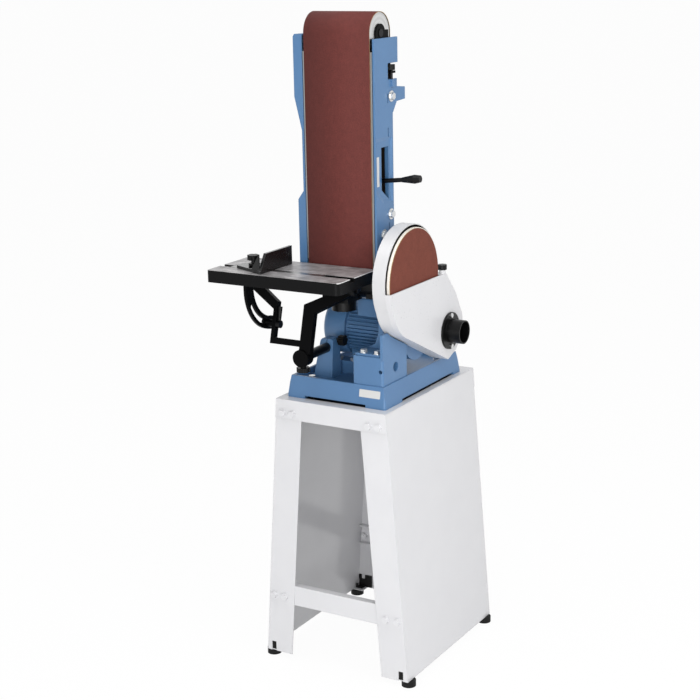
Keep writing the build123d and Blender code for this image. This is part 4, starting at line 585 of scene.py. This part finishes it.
def ground_table(name, iron, edge_highlight, paint):
    """Cast iron: the top ground bright in long strokes, a painted highlight along the top of the
    right edge, all the rest painted black.
    """
    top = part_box("table")[1].z
    material, tree, shader, place = start_finish(name, {"Specular IOR Level": 0.12})
    height = add(tree, "ShaderNodeSeparateXYZ", {"Vector": place}).outputs["Z"]
    normal = add(tree, "ShaderNodeTexCoord").outputs["Normal"]
    facing = add(tree, "ShaderNodeSeparateXYZ", {"Vector": normal}).outputs["X"]
    limits = (
        (height, top - GROUND_DEPTH),
        (height, top - EDGE_HIGHLIGHT_DEPTH),
        (facing, EDGE_HIGHLIGHT_FACING),
    )
    on_top, near_top, to_right = (
        add(tree, "ShaderNodeMath", {0: value, 1: limit}, operation="GREATER_THAN").outputs[0]
        for value, limit in limits
    )
    # Painted highlight: the ground edge is drawn bright only on faces turned to the right, where
    # the light falls.
    lit_edge = add(
        tree, "ShaderNodeMath", {0: to_right, 1: near_top}, operation="MULTIPLY"
    ).outputs[0]
    ground = add(tree, "ShaderNodeMath", {0: on_top, 1: lit_edge}, operation="MAXIMUM")
    drawn = add(tree, "ShaderNodeMapping", {"Vector": place, "Scale": (0.06, 1.0, 1.0)})
    strokes = add(
        tree,
        "ShaderNodeTexNoise",
        {"Vector": drawn.outputs[0], "Scale": per_metre(2.2), "Detail": 5.0},
    ).outputs["Fac"]
    stain = add(
        tree, "ShaderNodeTexNoise", {"Vector": place, "Scale": per_metre(26), "Detail": 4.0}
    )
    mixed = add(
        tree, "ShaderNodeMath", {0: strokes, 1: stain.outputs["Fac"]}, operation="MULTIPLY"
    )
    spread = add(
        tree,
        "ShaderNodeMapRange",
        {"Value": mixed.outputs[0], "From Min": 0.12, "From Max": 0.42},
    )
    flat = add(
        tree,
        "ShaderNodeMix",
        {"Factor": spread.outputs[0], "A": shade(iron, 0.36), "B": iron},
        data_type="RGBA",
    )
    bright = add(
        tree,
        "ShaderNodeMix",
        {"Factor": lit_edge, "A": flat.outputs["Result"], "B": edge_highlight},
        data_type="RGBA",
    )
    tone = add(
        tree,
        "ShaderNodeMix",
        {"Factor": ground.outputs[0], "A": paint, "B": bright.outputs["Result"]},
        data_type="RGBA",
    )
    bare = add(tree, "ShaderNodeMath", {0: on_top, 1: GROUND_METALLIC}, operation="MULTIPLY")
    sheen = add(
        tree, "ShaderNodeMapRange", {"Value": strokes, "To Min": 0.34, "To Max": 0.52}
    )
    skin = add(
        tree, "ShaderNodeTexNoise", {"Vector": place, "Scale": per_metre(2.4), "Detail": 3.0}
    )
    edge = add(tree, "ShaderNodeBevel", {"Radius": 0.9 * MM}, samples=EDGE_RAYS)
    bump = add(
        tree,
        "ShaderNodeBump",
        {"Height": skin.outputs["Fac"], "Distance": 0.08 * MM, "Normal": edge.outputs[0]},
    )
    link_finish(
        tree,
        shader,
        {
            "Base Color": tone.outputs["Result"],
            "Metallic": bare.outputs[0],
            "Roughness": sheen.outputs[0],
            "Normal": bump.outputs[0],
        },
    )
    return material


def dress(material, *names):
    """Gives CAD nodes their finish."""
    for name in names:
        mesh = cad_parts[name].data
        mesh.materials.clear()
        mesh.materials.append(material)


def place_piece(bm, name, body, slot, *materials):
    """Turns a finished bmesh into a piece that rides on a body."""
    mesh = bpy.data.meshes.new(name)
    bm.to_mesh(mesh)
    bm.free()
    for material in materials:
        mesh.materials.append(material)
    piece = bpy.data.objects.new(name, mesh)
    bpy.context.scene.collection.objects.link(piece)
    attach(piece, body)
    return piece


def edges_of(made):
    """The edges in what a bmesh operator made."""
    return [part for part in made if isinstance(part, bmesh.types.BMEdge)]


def verts_of(made):
    """The vertices in what a bmesh operator made."""
    return [part for part in made if isinstance(part, bmesh.types.BMVert)]


def closed_section(bm, points):
    """The vertices and edges of a closed outline, from its corners in order."""
    ring = [bm.verts.new(point) for point in points]
    return ring, [bm.edges.new((ring[i], ring[i - 1])) for i in range(len(ring))]


class SANDER_OT_castings(bpy.types.Operator):
    """Blue enamel on the castings, the motor and the belt arm"""

    bl_idname = "sander.castings"
    bl_label = "Castings"

    def execute(self, context):
        paint = context.scene.sander_colours
        # Satin enamel on sand-cast iron: soft peel over the cast skin, rounded edges.
        cast = coat(
            "satin_enamel_on_cast_iron",
            paint.blue,
            paint.blue_low,
            peel_mm=5,
            peel_depth_mm=0.12,
            roughness=0.4,
            edge_mm=1.6,
            specular=0.7,
        )
        dress(cast, "base_casting", "spindle_headstock", "arm_frame", "motor_housing")
        # The same enamel on pressed sheet: smoother, with tighter edges.
        sheet = coat(
            "satin_enamel_on_sheet_steel",
            paint.blue,
            paint.blue_low,
            peel_mm=9,
            peel_depth_mm=0.06,
            roughness=0.36,
            edge_mm=1.2,
            specular=0.7,
        )
        dress(sheet, "motor_fan_cover", "motor_terminal_box", "pulley_cover", "arm_side_cover")
        return {"FINISHED"}


class SANDER_OT_sheet_metal(bpy.types.Operator):
    """White powder coat on the stand and the disc guard"""

    bl_idname = "sander.sheet_metal"
    bl_label = "Sheet metal"

    def execute(self, context):
        paint = context.scene.sander_colours
        white = (paint.white, paint.white_low)
        # Powder coat on folded steel sheet: fine peel, soft gloss, bends of about 2 mm radius.
        powder = {"peel_mm": 3, "peel_depth_mm": 0.02, "roughness": 0.16, "edge_mm": 1.8}
        dress(
            coat("white_powder_coat", *white, **powder),
            "stand_left_panel",
            "stand_right_panel",
            "stand_front_crossbar",
            "stand_rear_crossbar",
        )
        # The same coat on the top plate, with a painted shade, near black, where the base covers
        # it.
        top = coat(
            "white_powder_coat_top",
            *white,
            **powder,
            covered="base_casting",
            painted_shade=paint.painted_shade,
        )
        dress(top, "stand_top_plate")
        # White paint brushed over the bolts: duller than the powder coat round them.
        bolts = coat(
            "white_paint_on_bolts",
            *white,
            peel_mm=3,
            peel_depth_mm=0.02,
            roughness=0.55,
            edge_mm=0.5,
            specular=0.25,
        )
        dress(bolts, "stand_bolts")
        # The guard has the same coat on spun and welded sheet, with a painted shade inside.
        dress(guard_with_shade("white_guard_coat", paint.guard, paint.guard_shade), "disc_guard")
        # Its front cover is pressed from one sheet: a little more peel, less gloss.
        cover = coat(
            "white_cover_coat",
            *white,
            peel_mm=4,
            peel_depth_mm=0.03,
            roughness=0.3,
            edge_mm=1.2,
        )
        dress(cover, "disc_front_cover")
        return {"FINISHED"}


class SANDER_OT_table(bpy.types.Operator):
    """Ground table top, black bracket and miter gauge"""

    bl_idname = "sander.table"
    bl_label = "Work table"

    def execute(self, context):
        paint = context.scene.sander_colours
        # Cast iron table: ground top, black paint elsewhere.
        iron = ground_table("ground_cast_iron", paint.iron, paint.iron_edge_highlight, paint.black)
        dress(iron, "table")
        # Black paint on cast iron: satin, with the cast skin showing through.
        black = coat(
            "black_paint_on_cast_iron",
            paint.black,
            shade(paint.black, 0.7),
            peel_mm=3,
            peel_depth_mm=0.1,
            roughness=0.4,
            edge_mm=1.2,
            specular=0.05,
        )
        dress(black, "table_bracket", "table_quadrant", "idler_fork")
        # Thin black lacquer over die-cast metal: glossy, with its upward faces drawn lighter grey.
        lacquer = coat(
            "black_lacquer_on_die_casting",
            paint.lacquer,
            paint.black,
            peel_mm=4,
            peel_depth_mm=0.05,
            roughness=0.26,
            edge_mm=1.0,
            specular=0.4,
            upward_tone=paint.upward_grey,
        )
        dress(lacquer, "miter_fence")
        return {"FINISHED"}


class SANDER_OT_bare_metal(bpy.types.Operator):
    """Bare, plated and lacquered metal: bolts, shafts, rollers, pulleys, disc plate"""

    bl_idname = "sander.bare_metal"
    bl_label = "Bare metal"

    def execute(self, context):
        paint = context.scene.sander_colours
        # Zinc plate: bright, slightly milky, with small changes of gloss.
        zinc = metal(
            "zinc_plated_steel", paint.zinc, line_mm=3, stretch=(1, 1, 1), roughness=0.3
        )
        dress(zinc, "machine_bolts", "arm_bolts")
        # Ground bar and plate: strokes along X.
        along_x = metal(
            "ground_steel_bar", paint.steel, line_mm=1.6, stretch=(0.05, 1, 1), roughness=0.32
        )
        dress(
            along_x,
            "miter_bar",
            "spindle",
            "motor_rotor",
            "spindle_bearings",
            "motor_bearings",
            "idler_bearings",
        )
        # Ground upright plate and stem: strokes along Z.
        upright = metal(
            "ground_steel_plate", paint.steel, line_mm=1.8, stretch=(1, 1, 0.05), roughness=0.38
        )
        dress(upright, "platen", "tension_stem")
        # Blackened steel, turned: dark, with a thin oil sheen.
        rod = metal(
            "blackened_steel",
            paint.blackened,
            line_mm=1.6,
            stretch=(0.2, 0.2, 1),
            roughness=0.36,
        )
        dress(rod, "support_rod", "table_pivot_bolts", "tension_lever", "idler_axle")
        # Stator: stamped iron sheets stacked along X.
        sheets = metal(
            "stacked_iron_sheets",
            paint.stator,
            line_mm=1.5,
            stretch=(12, 0.1, 0.1),
            roughness=0.5,
        )
        dress(sheets, "motor_stator")
        # Disc plate: cast and lacquered white, with a smooth turned rim.
        lacquer = coat(
            "white_lacquer_on_plate",
            paint.disc_plate,
            paint.disc_plate_low,
            peel_mm=3,
            peel_depth_mm=0.02,
            roughness=0.34,
            edge_mm=0.5,
        )
        dress(lacquer, "disc_plate")
        # Turned aluminium: bright rings round the axis, each on its own centre.
        for name in ("drive_drum", "idler_roller", "drum_pulley", "motor_pulley"):
            low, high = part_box(name)
            centre = (low + high) / 2
            dress(turned("turned_" + name, paint.aluminium, centre, roughness=0.36), name)
        return {"FINISHED"}


class SANDER_OT_springs(bpy.types.Operator):
    """Stack of disc springs under the tension stem"""

    bl_idname = "sander.springs"
    bl_label = "Disc springs"

    def execute(self, context):
        paint = context.scene.sander_colours
        pieces = context.scene.sander_pieces
        low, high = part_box("tension_spring")
        middle = (low + high) / 2
        rim = (high.x - low.x) / 2
        step = (high.z - low.z + pieces.spring_air) / pieces.spring_count
        cone = step - pieces.spring_plate - pieces.spring_air
        bm = bmesh.new()
        for i in range(pieces.spring_count):
            foot = low.z + i * step
            inner, outer = (foot, foot + cone) if i % 2 == 0 else (foot + cone, foot)
            section = (
                (pieces.spring_bore, inner),
                (rim, outer),
                (rim, outer + pieces.spring_plate),
                (pieces.spring_bore, inner + pieces.spring_plate),
            )
            points = [(middle.x + reach, middle.y, z) for reach, z in section]
            ring, edges = closed_section(bm, points)
            bmesh.ops.spin(
                bm,
                geom=ring + edges,
                cent=middle,
                axis=(0, 0, 1),
                angle=2 * math.pi,
                steps=pieces.spring_steps,
                use_merge=True,
            )
        bmesh.ops.recalc_face_normals(bm, faces=bm.faces)
        # Spring steel: dark and oiled.
        steel = metal(
            "oiled_spring_steel", paint.spring, line_mm=2, stretch=(1, 1, 1), roughness=0.3
        )
        springs = place_piece(bm, "disc_springs", "belt_arm", "spring_steel", steel)
        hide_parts("tension_spring")
        foot = (middle.x, middle.y, low.z)
        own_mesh(springs)
        return {"FINISHED"}


class SANDER_OT_plastic(bpy.types.Operator):
    """Moulded plastic and rubber: knobs, grips, dust port, feet, switch"""

    bl_idname = "sander.plastic"
    bl_label = "Plastic and rubber"

    def execute(self, context):
        paint = context.scene.sander_colours
        black = (paint.plastic, shade(paint.plastic, 0.75))
        # Moulded nylon and ABS: fine spark-eroded texture, semi-gloss.
        knobs = coat(
            "black_moulded_plastic",
            *black,
            peel_mm=1.2,
            peel_depth_mm=0.05,
            roughness=0.36,
            edge_mm=0.8,
            specular=0.2,
        )
        dress(
            knobs,
            "guard_knob",
            "rod_lock_knob",
            "rod_clamp_knob",
            "tracking_knob",
            "tilt_lock_lever",
            "miter_knob",
            "tension_lever_grip",
            "cable_glands",
            "motor_fan",
        )
        # Larger thin-walled mouldings: smoother and a little glossier.
        shells = coat(
            "black_moulded_shell",
            *black,
            peel_mm=3,
            peel_depth_mm=0.04,
            roughness=0.32,
            edge_mm=1.0,
            specular=0.2,
        )
        dress(shells, "dust_port", "belt_dust_hood", "switch_box")
        # Rubber: dull, with a dusty grain.
        rubber = coat(
            "black_rubber",
            paint.rubber,
            paint.rubber_low,
            peel_mm=2,
            peel_depth_mm=0.08,
            roughness=0.66,
            edge_mm=1.0,
            specular=0.2,
        )
        dress(rubber, "stand_feet", "drive_belt")
        # Button caps: glossy, coloured in the mass.
        for name, tint, node in (
            ("green_button_cap", paint.start, "start_button"),
            ("red_button_cap", paint.stop, "stop_button"),
        ):
            cap = coat(
                name,
                tint,
                shade(tint, 0.85),
                peel_mm=4,
                peel_depth_mm=0.02,
                roughness=0.22,
                edge_mm=0.8,
            )
            dress(cap, node)
        return {"FINISHED"}


class SANDER_OT_abrasives(bpy.types.Operator):
    """Sanding belt on its two rollers, and the sanding disc"""

    bl_idname = "sander.abrasives"
    bl_label = "Abrasives"

    def execute(self, context):
        paint = context.scene.sander_colours
        pieces = context.scene.sander_pieces
        # Cloth with aluminium oxide grain glued on: matt grain in front, tan cut edges and a
        # dark back.
        edges = backing_cloth("cotton_twill_edge", paint.backing)
        back = backing_cloth("cotton_twill_back", paint.backing_low)
        low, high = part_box("sanding_belt")
        belt_grit = grit("aluminium_oxide_belt", paint.belt_grit, splice=(low + high) / 2)
        self.belt(pieces, belt_grit, edges, back)
        self.disc(pieces, grit("aluminium_oxide_disc", paint.disc_grit), edges)
        return {"FINISHED"}

    def belt(self, pieces, *materials):
        """One closed loop: up the front, over the idler, down the back and round the drum."""
        low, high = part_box("sanding_belt")
        reach = (high.y - low.y) / 2
        drum = Vector((0, low.y + reach, low.z + reach))
        idler = Vector((0, low.y + reach, high.z - reach))
        inner = low.y + pieces.belt_thick
        corners = ((low.x, low.y), (high.x, low.y), (high.x, inner), (low.x, inner))
        bm = bmesh.new()
        _, section = closed_section(bm, [(x, y, drum.z) for x, y in corners])
        for axis, rise in ((idler, idler.z - drum.z), (drum, drum.z - idler.z)):
            made = bmesh.ops.extrude_edge_only(bm, edges=section)["geom"]
            bmesh.ops.translate(bm, verts=verts_of(made), vec=(0, 0, rise))
            turn = bmesh.ops.spin(
                bm,
                geom=verts_of(made) + edges_of(made),
                cent=axis,
                axis=(1, 0, 0),
                angle=-math.pi,
                steps=pieces.belt_steps,
            )
            section = edges_of(turn["geom_last"])
        bmesh.ops.remove_doubles(bm, verts=bm.verts, dist=BELT_MERGE)
        bmesh.ops.recalc_face_normals(bm, faces=bm.faces)
        for face in bm.faces:
            middle = face.calc_center_median()
            core = Vector((middle.x, drum.y, min(max(middle.z, drum.z), idler.z)))
            outward = face.normal.dot((middle - core).normalized())
            # Grain outside, cloth back inside, and the cut edges at the sides.
            face.material_index = 0 if outward > FACING else 2 if outward < -FACING else 1
            face.smooth = abs(face.normal.x) < FACING
        belt = place_piece(bm, "sanding_belt_cloth", "belt_arm", "abrasive", *materials)
        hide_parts("sanding_belt")
        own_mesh(belt)

    def disc(self, pieces, *materials):
        """A round sheet on the disc plate, grain towards the right."""
        low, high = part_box("abrasive_disc")
        radius = (high.y - low.y) / 2
        bm = bmesh.new()
        bmesh.ops.create_circle(bm, cap_ends=True, segments=pieces.disc_steps, radius=radius)
        made = bmesh.ops.extrude_face_region(bm, geom=bm.faces[:])["geom"]
        bmesh.ops.translate(bm, verts=verts_of(made), vec=(0, 0, high.x - low.x))
        bmesh.ops.recalc_face_normals(bm, faces=bm.faces)
        middle = (low + high) / 2
        on_plate = Matrix.Translation((low.x, middle.y, middle.z))
        standing = on_plate @ Matrix.Rotation(math.pi / 2, 4, "Y")
        bmesh.ops.transform(bm, matrix=standing, verts=bm.verts)
        for face in bm.faces:
            face.material_index = 0 if face.normal.x > FACING else 1
        disc = place_piece(bm, "sanding_disc_cloth", "spindle", "abrasive", *materials)
        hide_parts("abrasive_disc")


class SANDER_OT_plates(bpy.types.Operator):
    """Blank plates on the base's front and on the arm's right side"""

    bl_idname = "sander.plates"
    bl_label = "Blank plates"

    def execute(self, context):
        paint = context.scene.sander_colours
        pieces = context.scene.sander_pieces
        # Anodised aluminium plate with a white face: satin, almost flat.
        blank = coat(
            "white_faced_plate",
            paint.blank,
            paint.blank_low,
            peel_mm=2,
            peel_depth_mm=0.02,
            roughness=0.42,
            edge_mm=0.2,
        )
        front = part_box("base_casting")[0].y
        middle = Vector((SKIRT_PLATE_X, front + SKIRT_PLATE_Y, SKIRT_PLATE_Z))
        on_skirt = Matrix.Translation(middle) @ Matrix.Rotation(SKIRT_LEAN, 4, "X")
        size = (pieces.base_plate_width, pieces.base_plate_height)
        self.plate("base_blank_plate", "stand", size, pieces, blank, on_skirt)
        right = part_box("arm_frame")[1].x
        drum_low, drum_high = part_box("drive_drum")
        drum = (drum_low + drum_high) / 2
        middle = Vector((right - ARM_STRIP_X, drum.y - ARM_STRIP_Y, drum.z + ARM_STRIP_Z))
        in_pocket = Matrix.Translation(middle) @ Matrix.Rotation(math.pi / 2, 4, "Z")
        size = (pieces.arm_strip_width, pieces.arm_strip_height)
        self.plate("arm_blank_strip", "belt_arm", size, pieces, blank, in_pocket)
        return {"FINISHED"}

    def plate(self, name, body, size, pieces, material, placed):
        """A thin plate with round corners, facing forwards until it is placed."""
        width, height = size
        thick = pieces.plate_thick
        bm = bmesh.new()
        bmesh.ops.create_cube(bm, size=1.0)
        bmesh.ops.scale(bm, verts=bm.verts, vec=(width, thick, height))
        corners = [
            edge
            for edge in bm.edges
            if abs((edge.verts[0].co - edge.verts[1].co).y) > thick / 2
        ]
        bmesh.ops.bevel(
            bm,
            geom=corners,
            offset=pieces.plate_corner,
            offset_type="OFFSET",
            segments=4,
            profile=0.5,
            affect="EDGES",
            material=-1,
        )
        bmesh.ops.transform(bm, matrix=placed, verts=bm.verts)
        place_piece(bm, name, body, "stand_white", material)


def seen_rays(tree):
    """One for rays from the camera, off gloss and through glass, zero for light on the object."""
    path = add(tree, "ShaderNodeLightPath").outputs
    seen = path["Is Camera Ray"]
    for ray in ("Is Glossy Ray", "Is Transmission Ray"):
        seen = add(tree, "ShaderNodeMath", {0: seen, 1: path[ray]}, operation="MAXIMUM").outputs[0]
    return seen


class SANDER_OT_stage(bpy.types.Operator):
    """Floor, lights, white surround and camera"""

    bl_idname = "sander.stage"
    bl_label = "Stage"

    def execute(self, context):
        scene = context.scene
        stage = scene.sander_stage
        scene.view_settings.view_transform = "Standard"
        self.floor(scene, stage)
        self.surround(scene, stage)
        for name, value, side, place, aim in LAMPS:
            self.lamp(scene, name, getattr(stage, value), side, place, aim)
        self.camera(scene, stage)
        return {"FINISHED"}

    def floor(self, scene, stage):
        """A floor that is pale and matt, and near white to the camera, to meet the surround."""
        sockets = {"Base Color": stage.floor, "Roughness": 0.9}
        material, tree, shader, _ = start_finish("pale_floor", sockets)
        share = add(
            tree, "ShaderNodeMath", {0: seen_rays(tree), 1: FLOOR_WHITE}, operation="MULTIPLY"
        )
        glow = add(tree, "ShaderNodeEmission", {"Color": (1, 1, 1, 1), "Strength": 1.0})
        both = add(
            tree,
            "ShaderNodeMixShader",
            {"Fac": share.outputs[0], 1: shader.outputs[0], 2: glow.outputs[0]},
        )
        output = next(n for n in tree.nodes if n.bl_idname == "ShaderNodeOutputMaterial")
        tree.links.new(both.outputs[0], output.inputs["Surface"])
        bm = bmesh.new()
        bmesh.ops.create_grid(bm, x_segments=4, y_segments=4, size=stage.floor_size / 2)
        mesh = bpy.data.meshes.new("floor")
        bm.to_mesh(mesh)
        bm.free()
        mesh.materials.append(material)
        floor = bpy.data.objects.new("floor", mesh)
        scene.collection.objects.link(floor)

    def surround(self, scene, stage):
        """A surround that looks white, and lights the object more weakly."""
        world = bpy.data.worlds.new("white_surround")
        world.use_nodes = True
        tree = world.node_tree
        tree.nodes.clear()
        level = add(
            tree,
            "ShaderNodeMapRange",
            {"Value": seen_rays(tree), "To Min": stage.sky, "To Max": 1.0},
        )
        light = add(
            tree,
            "ShaderNodeBackground",
            {"Color": (1, 1, 1, 1), "Strength": level.outputs[0]},
        )
        add(tree, "ShaderNodeOutputWorld", {"Surface": light.outputs[0]})
        scene.world = world

    def lamp(self, scene, name, watts, side, place, aim):
        """A square soft lamp, turned to what it is aimed at."""
        data = bpy.data.lights.new(name, "AREA")
        data.energy = watts
        data.shape = "SQUARE"
        data.size = side
        made = bpy.data.objects.new(name, data)
        made.location = place
        towards = Vector(aim) - Vector(place)
        made.rotation_euler = towards.to_track_quat("-Z", "Y").to_euler()
        scene.collection.objects.link(made)

    def camera(self, scene, stage):
        """The camera at the photograph's place, from its turn, tilt and roll."""
        data = bpy.data.cameras.new("camera")
        data.sensor_width = SENSOR_MM
        data.lens = stage.lens
        data.clip_end = SIGHT
        camera = bpy.data.objects.new("camera", data)
        level = math.cos(CAMERA_TILT)
        ahead = Vector(
            (
                -math.sin(CAMERA_TURN) * level,
                math.cos(CAMERA_TURN) * level,
                -math.sin(CAMERA_TILT),
            )
        )
        right = Vector((math.cos(CAMERA_TURN), math.sin(CAMERA_TURN), 0))
        up = right.cross(ahead)
        across = right * math.cos(CAMERA_ROLL) + up * math.sin(CAMERA_ROLL)
        above = up * math.cos(CAMERA_ROLL) - right * math.sin(CAMERA_ROLL)
        basis = Matrix((across, above, -ahead)).transposed()
        camera.rotation_euler = basis.to_euler()
        camera.location = CAMERA_PLACE
        scene.collection.objects.link(camera)
        scene.camera = camera


STEPS = (
    SANDER_OT_castings,
    SANDER_OT_sheet_metal,
    SANDER_OT_table,
    SANDER_OT_bare_metal,
    SANDER_OT_springs,
    SANDER_OT_plastic,
    SANDER_OT_abrasives,
    SANDER_OT_plates,
    SANDER_OT_stage,
)


class SANDER_PT_panel(bpy.types.Panel):
    """Lists the sander's steps and values"""

    bl_idname = "SANDER_PT_panel"
    bl_label = "Belt and disc sander"
    bl_space_type = "VIEW_3D"
    bl_region_type = "UI"
    bl_category = "Sander"

    def draw(self, context):
        scene = context.scene
        column = self.layout.column()
        for step in STEPS:
            column.operator(step.bl_idname)
        for group in (scene.sander_colours, scene.sander_pieces, scene.sander_stage):
            for name in group.bl_rna.properties.keys():
                if name not in ("rna_type", "name"):
                    column.prop(group, name)


CLASSES = (SanderColours, SanderPieces, SanderStage, *STEPS, SANDER_PT_panel)


def register():
    for item in CLASSES:
        bpy.utils.register_class(item)
    bpy.types.Scene.sander_colours = PointerProperty(type=SanderColours)
    bpy.types.Scene.sander_pieces = PointerProperty(type=SanderPieces)
    bpy.types.Scene.sander_stage = PointerProperty(type=SanderStage)


def unregister():
    del bpy.types.Scene.sander_stage
    del bpy.types.Scene.sander_pieces
    del bpy.types.Scene.sander_colours
    for item in reversed(CLASSES):
        bpy.utils.unregister_class(item)


def main():
    register()
    for step in STEPS:
        group, name = step.bl_idname.split(".")
        getattr(getattr(bpy.ops, group), name)()


if __name__ == "__main__":
    main()
